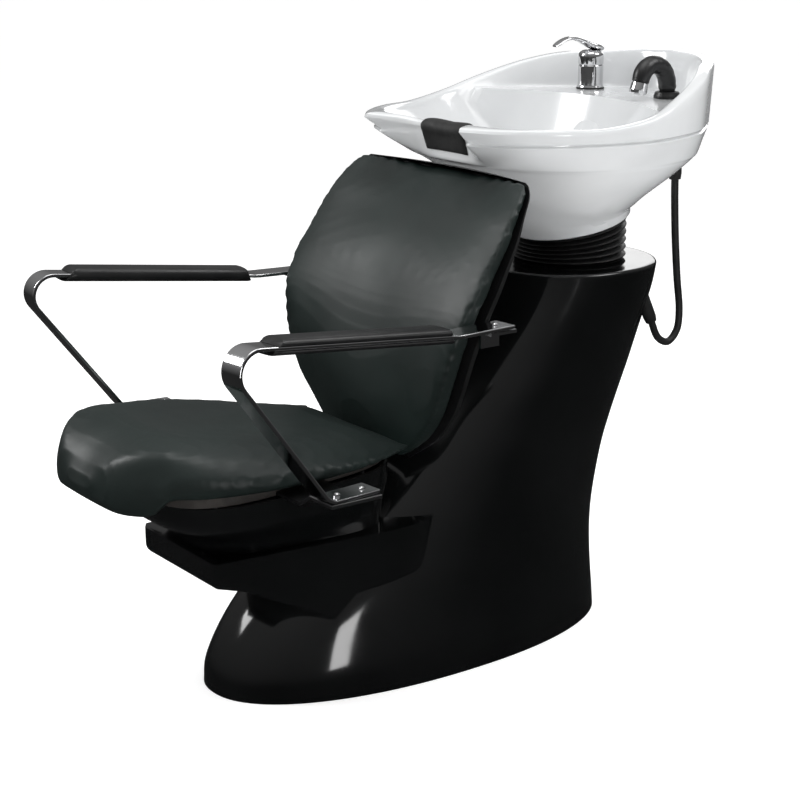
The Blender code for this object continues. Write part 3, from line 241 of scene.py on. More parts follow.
def procedural(name, dark, light, rough, patch=9.0, grain=400.0, bump=0.1, depth=0.0002,
               cells=False, metallic=0.0, coat=0.0, coat_rough=0.05, creases=0.0, specular=0.5, sheen=0.0):
    """A surface whose colour and roughness drift between two values, with a fine relief and optional soft creases."""
    made = bpy.data.materials.new(name)
    made.use_nodes = True
    nodes, links = made.node_tree.nodes, made.node_tree.links
    shader = nodes["Principled BSDF"]
    shader.inputs["Metallic"].default_value = metallic
    shader.inputs["Coat Weight"].default_value = coat
    shader.inputs["Coat Roughness"].default_value = coat_rough
    shader.inputs["Specular IOR Level"].default_value = specular
    shader.inputs["Sheen Weight"].default_value = sheen
    where = nodes.new("ShaderNodeTexCoord")

    def noise(scale, detail):
        node = nodes.new("ShaderNodeTexNoise")
        node.inputs["Scale"].default_value = scale
        node.inputs["Detail"].default_value = detail
        links.new(where.outputs["Object"], node.inputs["Vector"])
        return node.outputs["Fac"]

    drift = noise(patch, 5.0)
    ramp = nodes.new("ShaderNodeValToRGB")
    ramp.color_ramp.elements[0].position = 0.35
    ramp.color_ramp.elements[0].color = (*dark, 1.0)
    ramp.color_ramp.elements[1].position = 0.68
    ramp.color_ramp.elements[1].color = (*light, 1.0)
    links.new(drift, ramp.inputs["Fac"])
    links.new(ramp.outputs["Color"], shader.inputs["Base Color"])
    spread = nodes.new("ShaderNodeMapRange")
    spread.inputs["From Min"].default_value = 0.3
    spread.inputs["From Max"].default_value = 0.7
    spread.inputs["To Min"].default_value = rough[0]
    spread.inputs["To Max"].default_value = rough[1]
    links.new(noise(patch * 2.7, 6.0), spread.inputs["Value"])
    links.new(spread.outputs["Result"], shader.inputs["Roughness"])
    if cells:
        texture = nodes.new("ShaderNodeTexVoronoi")
        texture.feature = "DISTANCE_TO_EDGE"
        texture.inputs["Scale"].default_value = grain
        bend = nodes.new("ShaderNodeMixRGB")
        bend.blend_type = "ADD"
        bend.inputs["Fac"].default_value = 0.004
        warp = nodes.new("ShaderNodeTexNoise")
        warp.inputs["Scale"].default_value = grain * 0.35
        links.new(where.outputs["Object"], warp.inputs["Vector"])
        links.new(where.outputs["Object"], bend.inputs["Color1"])
        links.new(warp.outputs["Color"], bend.inputs["Color2"])
        links.new(bend.outputs["Color"], texture.inputs["Vector"])
        cut = nodes.new("ShaderNodeMath")
        cut.operation = "MINIMUM"
        cut.inputs[1].default_value = 0.22
        links.new(texture.outputs["Distance"], cut.inputs[0])
        height = cut.outputs[0]
    else:
        height = noise(grain, 3.0)
    fine = nodes.new("ShaderNodeBump")
    fine.inputs["Strength"].default_value = bump
    fine.inputs["Distance"].default_value = depth
    links.new(height, fine.inputs["Height"])
    normal = fine.outputs["Normal"]
    if creases:
        soft = nodes.new("ShaderNodeBump")
        soft.inputs["Strength"].default_value = creases
        soft.inputs["Distance"].default_value = 0.003
        links.new(noise(22.0, 2.0), soft.inputs["Height"])
        links.new(normal, soft.inputs["Normal"])
        normal = soft.outputs["Normal"]
    links.new(normal, shader.inputs["Normal"])
    return made


def make_materials():
    return {
        "gloss": procedural("moulded_gloss_black", (0.0018, 0.0020, 0.0021), (0.0034, 0.0037, 0.0038), (0.07, 0.13),
                            patch=5.0, grain=60.0, bump=0.03, depth=0.0004, specular=0.5),
        "vinyl": procedural("black_vinyl", (0.0048, 0.0105, 0.0092), (0.0078, 0.0160, 0.0140), (0.42, 0.50),
                            patch=7.0, grain=620.0, bump=0.30, depth=0.00020, cells=True, creases=0.015),
        "ceramic": procedural("white_glaze", (0.60, 0.612, 0.622), (0.68, 0.69, 0.697), (0.12, 0.20), patch=4.0,
                              grain=35.0, bump=0.02, depth=0.0006, coat=0.5, coat_rough=0.04),
        "chrome": procedural("polished_chrome", (0.62, 0.62, 0.63), (0.74, 0.74, 0.75), (0.05, 0.13), patch=14.0,
                             grain=90.0, bump=0.015, depth=0.0003, metallic=1.0),
        "satin": procedural("satin_black", (0.0045, 0.0046, 0.0050), (0.0085, 0.0086, 0.0090), (0.32, 0.44),
                            patch=12.0, grain=900.0, bump=0.16, depth=0.00018),
        "rubber": procedural("black_rubber", (0.0060, 0.0060, 0.0062), (0.0120, 0.0120, 0.0122), (0.46, 0.62),
                             patch=25.0, grain=1100.0, bump=0.20, depth=0.00015),
        "dull": procedural("matt_black_pad", (0.0080, 0.0080, 0.0080), (0.0150, 0.0150, 0.0150), (0.55, 0.75),
                           patch=30.0, grain=800.0, bump=0.25, depth=0.0002, cells=True),
        "steel": procedural("primed_steel", (0.055, 0.056, 0.060), (0.085, 0.086, 0.090), (0.45, 0.62), patch=18.0,
                            grain=500.0, bump=0.18, depth=0.0002, metallic=0.4),
        "board": procedural("stained_board", (0.018, 0.015, 0.013), (0.032, 0.027, 0.023), (0.60, 0.80), patch=40.0,
                            grain=240.0, bump=0.30, depth=0.0004),
        "brass": procedural("brass", (0.50, 0.36, 0.16), (0.64, 0.48, 0.24), (0.22, 0.38), patch=30.0, grain=600.0,
                            bump=0.10, depth=0.0001, metallic=1.0),
    }


# ---------------------------------------------------------------- shape helpers

def add_mesh(name, bm, finish, smooth_angle=40.0):
    bmesh.ops.recalc_face_normals(bm, faces=bm.faces)
    mesh = bpy.data.meshes.new(name)
    bm.to_mesh(mesh)
    bm.free()
    obj = bpy.data.objects.new(name, mesh)
    mesh.materials.append(MATERIALS[finish])
    bpy.context.scene.collection.objects.link(obj)
    mesh.shade_smooth()
    mesh.set_sharp_from_angle(angle=math.radians(smooth_angle))
    return obj


def evaluated_mesh(obj):
    bpy.context.view_layer.update()
    graph = bpy.context.evaluated_depsgraph_get()
    return bpy.data.meshes.new_from_object(obj.evaluated_get(graph))


def apply_modifiers(obj):
    mesh = evaluated_mesh(obj)
    obj.modifiers.clear()
    obj.data = mesh
    return obj


def place(obj, body, slot_name, *nodes):
    """The piece rides on a body and stands for the CAD nodes named. slot_name is not used."""
    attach(obj, body)
    if nodes:
        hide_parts(*nodes)
    return obj


def loft(bm, rings, close_start=False, close_end=False, loop=False):
    made = [[bm.verts.new(point) for point in ring] for ring in rings]
    pairs = list(zip(made, made[1:]))
    if loop:
        pairs.append((made[-1], made[0]))
    for first, second in pairs:
        for i in range(len(first)):
            j = (i + 1) % len(first)
            bm.faces.new((first[i], first[j], second[j], second[i]))
    if close_start:
        bm.faces.new(list(reversed(made[0])))
    if close_end:
        bm.faces.new(made[-1])
    return bm


def catmull(points, t):
    """The value at t, from 0 to 1, of a Catmull-Rom curve through evenly counted points of any length."""
    at = t * (len(points) - 1)
    i = min(int(at), len(points) - 2)
    f = at - i
    b, c = Vector(points[i]), Vector(points[i + 1])
    a = Vector(points[i - 1]) if i > 0 else 2 * b - c
    d = Vector(points[i + 2]) if i + 2 < len(points) else 2 * c - b
    return 0.5 * (2 * b + (c - a) * f + (2 * a - 5 * b + 4 * c - d) * f ** 2 + (3 * b - a - 3 * c + d) * f ** 3)


def curve_through(points, steps):
    """A list of points along a Catmull-Rom curve, the given number to each span."""
    spans = len(points) - 1
    return [catmull(points, i / (spans * steps)) for i in range(spans * steps + 1)]


def smooth_path(points, spacing):
    ends = [2 * points[0] - points[1], *points, 2 * points[-1] - points[-2]]
    path = []
    for a, b, c, d in zip(ends, ends[1:], ends[2:], ends[3:]):
        count = max(1, round((c - b).length / spacing))
        for step in range(count):
            t = step / count
            path.append(
                0.5 * (2 * b + (c - a) * t + (2 * a - 5 * b + 4 * c - d) * t ** 2
                       + (3 * b - a - 3 * c + d) * t ** 3)
            )
    path.append(points[-1])
    return path


def turned(name, profile, finish, matrix, steps=64, smooth_angle=32.0):
    """Turns (radius, height) points about the Z axis of matrix. Points on the axis close the ends."""
    rings = []
    for radius, z in profile:
        radius = max(radius, 0.00005)
        rings.append([
            matrix @ Vector((radius * math.cos(2 * math.pi * i / steps), radius * math.sin(2 * math.pi * i / steps), z))
            for i in range(steps)
        ])
    closed = (Vector(profile[0]) - Vector(profile[-1])).length < 1e-6
    if closed:
        return add_mesh(name, loft(bmesh.new(), rings[:-1], loop=True), finish, smooth_angle)
    return add_mesh(name, loft(bmesh.new(), rings, True, True), finish, smooth_angle)


def rounded(profile, radius, steps=4):
    """A profile whose inner corners are cut back by radius and rounded."""
    points = [Vector(p) for p in profile]
    made = [points[0]]
    for a, b, c in zip(points, points[1:], points[2:]):
        cut = min(radius, (a - b).length * 0.45, (c - b).length * 0.45)
        start = b + (a - b).normalized() * cut
        end = b + (c - b).normalized() * cut
        for i in range(steps + 1):
            t = i / steps
            made.append((1 - t) ** 2 * start + 2 * t * (1 - t) * b + t ** 2 * end)
    made.append(points[-1])
    return [tuple(p) for p in made]


def tube_mesh(path, radius, around=20, radii=None):
    """A round tube along a path as a closed mesh. It doesn't twist."""
    bm = bmesh.new()
    rings = []
    side = None
    for index, point in enumerate(path):
        along = (path[min(len(path) - 1, index + 1)] - path[max(0, index - 1)]).normalized()
        if side is None:
            side = along.cross(Vector((1.0, 0.13, 0.07))).normalized()
        side = (side - along * side.dot(along)).normalized()
        other = along.cross(side)
        size = radius * (radii[index] if radii else 1.0)
        rings.append([
            point + (side * math.cos(2 * math.pi * i / around) + other * math.sin(2 * math.pi * i / around)) * size
            for i in range(around)
        ])
    return loft(bm, rings, True, True)


def box_object(low, high):
    bm = bmesh.new()
    low, high = Vector(low), Vector(high)
    bmesh.ops.create_cube(bm, size=1.0, matrix=Matrix.Translation((low + high) / 2)
                          @ Matrix.Diagonal((high - low).to_4d()))
    mesh = bpy.data.meshes.new("cutter")
    bm.to_mesh(mesh)
    bm.free()
    obj = bpy.data.objects.new("cutter", mesh)
    bpy.context.scene.collection.objects.link(obj)
    return obj


def cut(obj, cutter, operation="DIFFERENCE"):
    mod = obj.modifiers.new("Boolean", "BOOLEAN")
    mod.operation = operation
    mod.solver = "EXACT"
    mod.object = cutter
    apply_modifiers(obj)
    bpy.data.objects.remove(cutter, do_unlink=True)
    return obj


def bevel(obj, width, segments=3, angle=30.0):
    mod = obj.modifiers.new("Bevel", "BEVEL")
    mod.width = width
    mod.segments = segments
    mod.limit_method = "ANGLE"
    mod.angle_limit = math.radians(angle)
    mod.harden_normals = False
    return obj


# ---------------------------------------------------------------- pedestal, tray and seat pan

def oval(z, front, rear, half_width, grow=0.0, count=160, power=0.92):
    ring = []
    for i in range(count):
        angle = 2 * math.pi * i / count
        c, s = math.cos(angle), math.sin(angle)
        x = (half_width + grow) * math.copysign(abs(c) ** power, c)
        y = (front + rear) / 2 + ((rear - front) / 2 + grow) * math.copysign(abs(s) ** power, s)
        ring.append((x, y, z))
    return ring


def pedestal_surface():
    levels = curve_through(PEDESTAL_LEVELS, 4)
    rings = [oval(z, front, rear, half) for z, front, rear, half in levels]
    z, front, rear, half = PEDESTAL_LEVELS[-1]
    for part in (15, 30, 45, 60, 75, 90):
        angle = math.radians(part)
        rings.append(oval(z + TOP_EDGE_RADIUS * math.sin(angle), front, rear, half,
                          -TOP_EDGE_RADIUS * (1 - math.cos(angle))))
    hole = [(TOP_HOLE_RADIUS * math.cos(2 * math.pi * i / 160),
             BOWL_CENTRE_Y + TOP_HOLE_RADIUS * math.sin(2 * math.pi * i / 160), PEDESTAL_TOP) for i in range(160)]
    rings.append([tuple(Vector(a) + (Vector(b) - Vector(a)) * 0.03) for a, b in zip(rings[-1], hole)])
    rings.append(hole)
    return loft(bmesh.new(), rings)


def shelled(name, bm, finish, thickness):
    obj = add_mesh(name, bm, finish, 50.0)
    mod = obj.modifiers.new("Solidify", "SOLIDIFY")
    mod.thickness = thickness
    mod.offset = -1.0
    return apply_modifiers(obj)


def make_pedestal():
    pedestal = shelled("pedestal_body", pedestal_surface(), "gloss", PEDESTAL_WALL)
    cut(pedestal, box_object(PANEL_LOW, PANEL_HIGH))
    cut(pedestal, box_object((-0.031, -0.22, 0.287), (0.031, 0.08, 0.339)))
    cut(pedestal, box_object((-0.046, -0.06, 0.394), (0.046, 0.12, 0.442)))
    pedestal.data.set_sharp_from_angle(angle=math.radians(40))
    place(pedestal, "chassis", "gloss_black", "pedestal_shell")
    panel = shelled("service_panel", pedestal_surface(), "gloss", PEDESTAL_WALL)
    edge = Vector((0.0012, 0.0, 0.0012))
    cut(panel, box_object(PANEL_LOW + edge, PANEL_HIGH - edge), "INTERSECT")
    panel.data.set_sharp_from_angle(angle=math.radians(40))
    place(panel, "chassis", "gloss_black", "rear_panel")


def pedestal_form(grow):
    rings = [oval(z, front, rear, half, grow) for z, front, rear, half in PEDESTAL_LEVELS]
    bm = loft(bmesh.new(), rings, True, True)
    bmesh.ops.recalc_face_normals(bm, faces=bm.faces)
    mesh = bpy.data.meshes.new("form")
    bm.to_mesh(mesh)
    bm.free()
    obj = bpy.data.objects.new("form", mesh)
    bpy.context.scene.collection.objects.link(obj)
    return obj


def make_tray():
    levels = [TRAY_LEVELS[0], TRAY_LEVELS[1]]
    for low, high in zip(TRAY_LEVELS[1:], TRAY_LEVELS[2:]):
        for step in (1, 2, 3):
            levels.append(tuple(a + (b - a) * step / 3 for a, b in zip(low, high)))
    rings = []
    for y, half, low, high in levels:
        turn = min(0.014, (high - low) * 0.3)
        ring = [(-half, y, high), (half, y, high)]
        for i in range(6):
            angle = math.pi / 2 * i / 5
            ring.append((half - turn * (1 - math.cos(angle)), y, low + turn * (1 - math.sin(angle))))
        for i in range(6):
            angle = math.pi / 2 * (1 - i / 5)
            ring.append((-half + turn * (1 - math.cos(angle)), y, low + turn * (1 - math.sin(angle))))
        rings.append(ring)
    tray = add_mesh("tray_body", loft(bmesh.new(), rings, True, True), "gloss", 30.0)
    cut(tray, pedestal_form(0.0008))
    tray.data.set_sharp_from_angle(angle=math.radians(30))
    bevel(tray, 0.0034, 4, 40.0)
    place(tray, "chassis", "gloss_black", "seat_tray")


def rounded_outline(front, rear, front_half, rear_half, z, count=120, power=0.55):
    ring = []
    for i in range(count):
        angle = 2 * math.pi * i / count
        c, s = math.cos(angle), math.sin(angle)
        along = math.copysign(abs(s) ** power, s)
        half = front_half + (rear_half - front_half) * (along + 1) / 2
        ring.append((half * math.copysign(abs(c) ** power, c), (front + rear) / 2 + along * (rear - front) / 2, z))
    return ring


def make_seat_pan():
    rings = [rounded_outline(front, PAN_REAR, front_half, rear_half, z)
             for front, front_half, rear_half, z in curve_through(PAN_LEVELS, 5)]
    pan = shelled("pan_body", loft(bmesh.new(), rings), "gloss", 0.004)
    cut(pan, box_object((-0.031, -0.13, 0.24), (0.031, 0.02, 0.339)))
    cut(pan, pedestal_form(0.0008))
    pan.data.set_sharp_from_angle(angle=math.radians(40))
    place(pan, "chassis", "gloss_black", "seat_pan")


# ---------------------------------------------------------------- upholstery

def spread(mesh, moves, rounds):
    """Averages each point's move with its neighbours', as taut vinyl over foam does."""
    pairs = np.empty(len(mesh.edges) * 2, np.int32)
    mesh.edges.foreach_get("vertices", pairs)
    pairs = pairs.reshape(-1, 2)
    count = np.bincount(pairs.ravel(), minlength=len(moves))[:, None]
    for _ in range(rounds):
        total = np.zeros_like(moves)
        np.add.at(total, pairs[:, 0], moves[pairs[:, 1]])
        np.add.at(total, pairs[:, 1], moves[pairs[:, 0]])
        moves = 0.3 * moves + 0.7 * total / count
    return moves


def inflate(obj, held, inset, cap, pressure=4.0):
    """Blows the piece up as cloth. Points where held(point, normal) is true stay put."""
    for vertex in obj.data.vertices:
        vertex.co = vertex.co - vertex.normal * inset
    mod = obj.modifiers.new("Remesh", "REMESH")
    mod.mode = "VOXEL"
    mod.voxel_size = VOXEL
    mod.use_smooth_shade = True
    apply_modifiers(obj)
    mesh = obj.data
    before = [vertex.co.copy() for vertex in mesh.vertices]
    group = obj.vertex_groups.new(name="held")
    group.add([v.index for v in mesh.vertices if held(v.co, v.normal)], 1.0, "REPLACE")
    mod = obj.modifiers.new("Cloth", "CLOTH")
    cloth = mod.settings
    cloth.use_pressure = True
    cloth.uniform_pressure_force = pressure
    cloth.effector_weights.gravity = 0.0
    cloth.vertex_group_mass = "held"
    cloth.tension_stiffness = 18.0
    cloth.compression_stiffness = 18.0
    cloth.bending_stiffness = 0.6
    cloth.quality = 5
    mod.collision_settings.use_collision = False
    mod.point_cache.frame_start = 1
    mod.point_cache.frame_end = 20
    scene = bpy.context.scene
    for number in range(1, 21):
        scene.frame_set(number)
    graph = bpy.context.evaluated_depsgraph_get()
    blown = obj.evaluated_get(graph).to_mesh()
    after = [vertex.co.copy() for vertex in blown.vertices]
    obj.evaluated_get(graph).to_mesh_clear()
    obj.modifiers.clear()
    scene.frame_set(1)
    moves = np.array(after) - np.array(before)
    length = np.linalg.norm(moves, axis=1, keepdims=True)
    moves *= np.minimum(1.0, cap / np.maximum(length, 1e-9))
    moves = spread(mesh, moves, SPREAD_ROUNDS)
    for vertex, start, move in zip(mesh.vertices, before, moves):
        vertex.co = start + Vector(move)
    return smooth_finish(obj)


def smooth_finish(obj):
    mod = obj.modifiers.new("Smooth", "LAPLACIANSMOOTH")
    mod.iterations = 14
    mod.lambda_factor = 0.8
    mod.lambda_border = 0.0
    apply_modifiers(obj)
    mod = obj.modifiers.new("Subdivision", "SUBSURF")
    mod.levels = 1
    mod.render_levels = 1
    apply_modifiers(obj)
    obj.data.shade_smooth()
    return obj


def seat_ring(y, half, top, bottom, count=40):
    """One section of the saddle: dished on top, and rounded over at both sides."""
    height = top - bottom
    dish = SEAT_DISH * min(1.0, max(0.0, (y + 0.60) / 0.13)) * min(1.0, height / 0.05)
    upper, lower = [], []
    for i in range(count + 1):
        side = math.sin(math.pi / 2 * (2 * i / count - 1))
        upper.append((side * half, y, top - dish * (1 - side ** 2) - height * 0.50 * abs(side) ** 14 + SEAT_PUFF))
        lower.append((side * half, y, bottom + height * 0.40 * abs(side) ** 14))
    return upper + lower[::-1][1:-1]


def make_seat():
    levels = curve_through([SEAT_NOSE, *SEAT_LEVELS], 3)
    cushion = add_mesh("seat_pad", loft(bmesh.new(), [seat_ring(*level) for level in levels], True, True), "vinyl")
    inflate(cushion, lambda p, n: n.z < -0.6 or n.y > 0.7, 0.0005, 0.022)
    place(cushion, "chassis", "upholstery", "seat_cushion")


def back_section(half, near, far, near_cup, far_cup, z, round_side, count=33):
    ring = []
    for i in range(count):
        side = 2 * i / (count - 1) - 1
        ring.append((half * side, near + near_cup * (1 - side ** 2) + round_side * abs(side) ** 9, z))
    for i in range(count):
        side = 1 - 2 * i / (count - 1)
        ring.append((half * side, far + far_cup * (1 - side ** 2) - round_side * abs(side) ** 9, z))
    return ring


def make_back():
    pad_rings = []
    shell_rings = []
    for z, half, front, pad, rear, cup in curve_through(BACK_LEVELS, 3):
        seam = front + pad
        pad_rings.append(back_section(half, front, seam - 0.0003, cup, cup, z, min(0.010, pad * 0.25)))
        reach = BACK_SHELL_WIDTH ** 2
        shell_rings.append(back_section(half * BACK_SHELL_WIDTH, seam + cup * (1 - reach), seam + rear,
                                        cup * reach, cup * 0.55, z, rear * 0.35))
    cushion = add_mesh("back_pad", loft(bmesh.new(), pad_rings, True, True), "vinyl")
    inflate(cushion, lambda p, n: n.y > 0.55, 0.0, 0.022)
    place(cushion, "chassis", "upholstery", "back_cushion")
    shell = add_mesh("back_cover", loft(bmesh.new(), shell_rings, True, True), "satin", 50.0)
    bevel(shell, 0.004, 3, 50.0)
    place(shell, "chassis", "black_plastic", "back_shell")


# ---------------------------------------------------------------- arms

def arm_point(side, along, z, across=0.0):
    outward = math.cos(ARM_SPLAY) * across
    x = ARM_REAR.x + along * math.sin(ARM_SPLAY) + outward
    y = ARM_REAR.y - along * math.cos(ARM_SPLAY) + math.sin(ARM_SPLAY) * across
    return Vector((side * x, y, z))


def arm_path():
    path = [Vector(point) for point in ARM_TAIL]
    path += [Vector((0.078, 0.6098)), Vector(ARM_TOP_REAR) + Vector((0.006, 0.0007)), Vector(ARM_TOP_FRONT)]
    centre = Vector(ARM_LOOP_CENTRE)
    heel = Vector(ARM_HEEL) + Vector((0.008, 0.010))
    leg = heel - centre
    spread = math.acos(ARM_LOOP_RADIUS / leg.length)
    start = math.radians(96)
    end = math.atan2(leg.y, leg.x) + spread
    for i in range(1, 31):
        angle = start + (end - start) * i / 30
        path.append(centre + ARM_LOOP_RADIUS * Vector((math.cos(angle), math.sin(angle))))
    bend = [heel, Vector(ARM_HEEL) + Vector((0.001, 0.0025)), Vector(ARM_HEEL) + Vector((-0.009, 0.0))]
    for i in range(7):
        t = i / 6
        path.append((1 - t) ** 2 * bend[0] + 2 * t * (1 - t) * bend[1] + t ** 2 * bend[2])
    path.append(Vector(ARM_FOOT_END))
    return path


def make_arm(side, name):
    path = arm_path()
    rings = []
    for index, point in enumerate(path):
        before = path[max(0, index - 1)]
        after = path[min(len(path) - 1, index + 1)]
        along = (after - before).normalized()
        lift = Vector((-along.y, along.x)) * ARM_THICK / 2
        rings.append([
            arm_point(side, point.x + lift.x * up, point.y + lift.y * up, across * ARM_WIDTH / 2)
            for across, up in ((-1, 1), (1, 1), (1, -1), (-1, -1))
        ])
    bar = add_mesh(f"arm_rail_{name}", loft(bmesh.new(), rings, True, True), "chrome", 40.0)
    bevel(bar, 0.0016, 3, 50.0)
    place(bar, "chassis", "chrome", f"arm_bar_{name}")
    make_arm_pad(side, name)


def pad_outline():
    """The pad's section as (across, up), with rounded corners and the slot for the bar at its outer side."""
    half, top, low = 0.0240, 0.0135, 0.0105
    upper = [(-half, -low * 0.2), (-half, top * 0.35), (-half * 0.82, top * 0.86), (-half * 0.38, top),
             (half * 0.38, top), (half * 0.82, top * 0.86), (half * 0.98, top * 0.45)]
    lower = [(half * 0.98, -low * 0.50), (half * 0.78, -low * 0.92), (half * 0.3, -low), (-half * 0.5, -low),
             (-half * 0.86, -low * 0.80), (-half, -low * 0.2)]
    slot = ARM_THICK / 2 + 0.0004
    inner = ARM_WIDTH / 2 + 0.0004
    section = [tuple(p) for p in curve_through([Vector(p) for p in upper], 4)]
    section += [(half * 0.945, slot), (-inner, slot), (-inner, -slot), (half * 0.945, -slot)]
    section += [tuple(p) for p in curve_through([Vector(p) for p in lower], 4)][:-1]
    return section


def make_arm_pad(side, name):
    rear, front = Vector(ARM_TOP_REAR), Vector(ARM_TOP_FRONT)
    slope = (front - rear) / (front.x - rear.x)
    start, end = PAD_RANGE
    stations = [(start, 0.90), (start + 0.0012, 0.955), (start + 0.004, 1.0)]
    stations += [(start + (end - start) * i / 24, 1.0) for i in range(1, 24)]
    stations += [(end - 0.004, 1.0), (end - 0.0012, 0.955), (end, 0.90)]
    section = pad_outline()
    rings = []
    for along, size in stations:
        part = (along - start) / (end - start)
        slant = 0.004 * (1 - part) - 0.012 * part
        middle = rear + slope * (along - rear.x)
        ring = []
        for across, up in section:
            lift = up * (size if abs(up) > 0.004 else 1.0)
            wide = across * (size if abs(across) > 0.0228 else 1.0)
            shift = slant * up / 0.0125
            ring.append(arm_point(side, middle.x + shift, middle.y + lift + slope.y * shift, wide))
        rings.append(ring)
    pad = add_mesh(f"arm_sleeve_{name}", loft(bmesh.new(), rings, True, True), "satin", 50.0)
    place(pad, "chassis", "black_plastic", f"arm_pad_{name}")


# ---------------------------------------------------------------- bowl

def rim_points(side_steps=SIDE_STEPS, recess_steps=RECESS_STEPS):
    half = [catmull(RIM_SIDE, i / side_steps) for i in range(side_steps)]
    half += [catmull(RIM_RECESS, i / recess_steps) for i in range(recess_steps + 1)]
    mirrored = [Vector((-p.x, p.y, p.z)) for p in reversed(half[1:-1])]
    return half + mirrored


def inward(rim, distance):
    away = Vector((rim.x - RIM_CENTRE.x, rim.y - RIM_CENTRE.y, 0.0))
    return rim - away.normalized() * distance


def horn(rim):
    return max(0.0, 1.0 - Vector((abs(rim.x) - 0.127, rim.y - 0.004)).length / 0.10)


def at_recess(rim):
    """1 across the neck recess, easing to 0 round the tips of the horns."""
    if rim.y > 0.20:
        return 0.0
    return min(1.0, max(0.0, (0.127 - abs(rim.x)) / 0.018))


def towards_rear(rim):
    return min(1.0, max(0.0, (rim.y - 0.37) / 0.11))


def basin_edge(rim):
    return inward(rim, RIM_WIDTH + HORN_EXTRA * horn(rim)) - Vector((0.0, 0.0, 0.007))


def belly_point(rim, level):
    z, half, front, rear, square = level
    away = Vector((rim.x, rim.y - RIM_CENTRE.y))
    away.normalize()
    reach = RIM_CENTRE.y - front if away.y < 0 else rear - RIM_CENTRE.y
    power = square if away.y < 0 else 2.1
    size = (abs(away.x / half) ** power + abs(away.y / reach) ** power) ** (-1 / power)
    return Vector((away.x * size, RIM_CENTRE.y + away.y * size, z))


def foot_face(y):
    return FOOT_HEIGHT + FOOT_SLOPE * (y - BOWL_CENTRE_Y)


def foot_point(rim, radius, lift=0.0):
    away = Vector((rim.x, rim.y - RIM_CENTRE.y)).normalized() * radius
    y = BOWL_CENTRE_Y + away.y
    return Vector((away.x, y, foot_face(y) + lift))


def soft_max(a, b, width):
    gap = max(-1.0, min(1.0, (a - b) / width))
    return b + (a - b) * (gap + 1) / 2 + width * (1 - gap * gap) / 4


def basin_wall(rim, reach, sink=0.0):
    edge = basin_edge(rim)
    x = DRAIN.x + (edge.x - DRAIN.x) * reach
    y = DRAIN.y + (edge.y - DRAIN.y) * reach
    power = 1.6 + min(1.0, max(0.0, (rim.y - 0.05) / 0.15)) + 5.0 * towards_rear(rim)
    hollow = DRAIN.z + (edge.z - DRAIN.z) * reach ** power
    deck = DECK_HEIGHT - max(0.0, DECK_FRONT - DECK_BEND * x * x - y) * DECK_SLOPE
    return Vector((x, y, soft_max(hollow, deck, 0.010) - sink))


BASIN_START = 0.988
BASIN_END = 0.21


def reach_of_line(rim, ahead):
    edge = basin_edge(rim)
    across, along = edge.x - DRAIN.x, edge.y - DRAIN.y
    bend = DECK_BEND * across * across
    if bend < 1e-5:
        return ahead / along if along > 0 else 1.0
    return (-along + math.sqrt(along * along + 4 * bend * ahead)) / (2 * bend)


def basin_steps(rim):
    """Where the basin's rings cross a section: closer together at the edge and at the deck's front ridge."""
    ridge = min(0.90, reach_of_line(rim, DECK_FRONT - DRAIN.y))
    foot = min(0.62, reach_of_line(rim, DECK_FRONT - DRAIN.y - (DECK_HEIGHT - DRAIN.z) / DECK_SLOPE))
    steps = [BASIN_START - 0.006 * i for i in range(10)]
    start = steps[-1]
    steps += [start + (ridge + 0.012 - start) * i / 7 for i in range(1, 7)]
    steps += [ridge + 0.012 - 0.004 * i for i in range(7)]
    low = steps[-1]
    steps += [low + (foot - low) * i / 7 for i in range(1, 8)]
    steps += [foot + (BASIN_END - foot) * i / 8 for i in range(1, 9)]
    return steps


LIP = [(0.00, 0.0075), (0.07, 0.0020), (0.28, 0.0), (0.62, 0.0002), (0.90, 0.0030)]


def outer_line(rim):
    """The corners of the outer face under a rim point: the upper wall, the groove and then the belly."""
    fade = 1.0 - at_recess(rim)
    wall = inward(rim, 0.003 + 0.002 * fade)
    line = [rim - Vector((0.0, 0.0, 0.0075))]
    for height, inset in ((GROOVE_HEIGHT + 0.0030, 0.0), (GROOVE_HEIGHT + 0.0006, GROOVE_DEPTH),
                          (GROOVE_HEIGHT - 0.0012, GROOVE_DEPTH), (GROOVE_HEIGHT - 0.0040, 0.0005)):
        point = inward(wall, inset * fade + HORN_UNDERCUT * horn(rim))
        line.append(Vector((point.x, point.y, height)))
    belly = [belly_point(rim, level) for level in BELLY_LEVELS]
    wall = inward(wall, HORN_UNDERCUT * horn(rim))
    middle = wall + (belly[0] - wall) * SHOULDER
    line.append(Vector((middle.x, middle.y, (GROOVE_HEIGHT + belly[0].z) / 2)))
    return line + belly


def outer_profile(rim):
    """The outer face from the foot's top to the lip, smooth except at the groove."""
    line = outer_line(rim)
    belly = curve_through(line[4:] + [foot_point(rim, FOOT_RADIUS, 0.012)], 4)
    return belly[::-1] + line[3:0:-1] + [line[1] + (line[0] - line[1]) * t for t in (0.25, 0.5, 0.75, 1.0)]


def lip_line(rim):
    """Over the lip, from the outer face to the basin's edge."""
    edge = basin_edge(rim)
    corners = [rim + (edge - rim) * across - Vector((0.0, 0.0, drop - 0.007 * across)) for across, drop in LIP]
    corners.append(basin_wall(rim, BASIN_START))
    return curve_through(corners, 4)[1:-1]


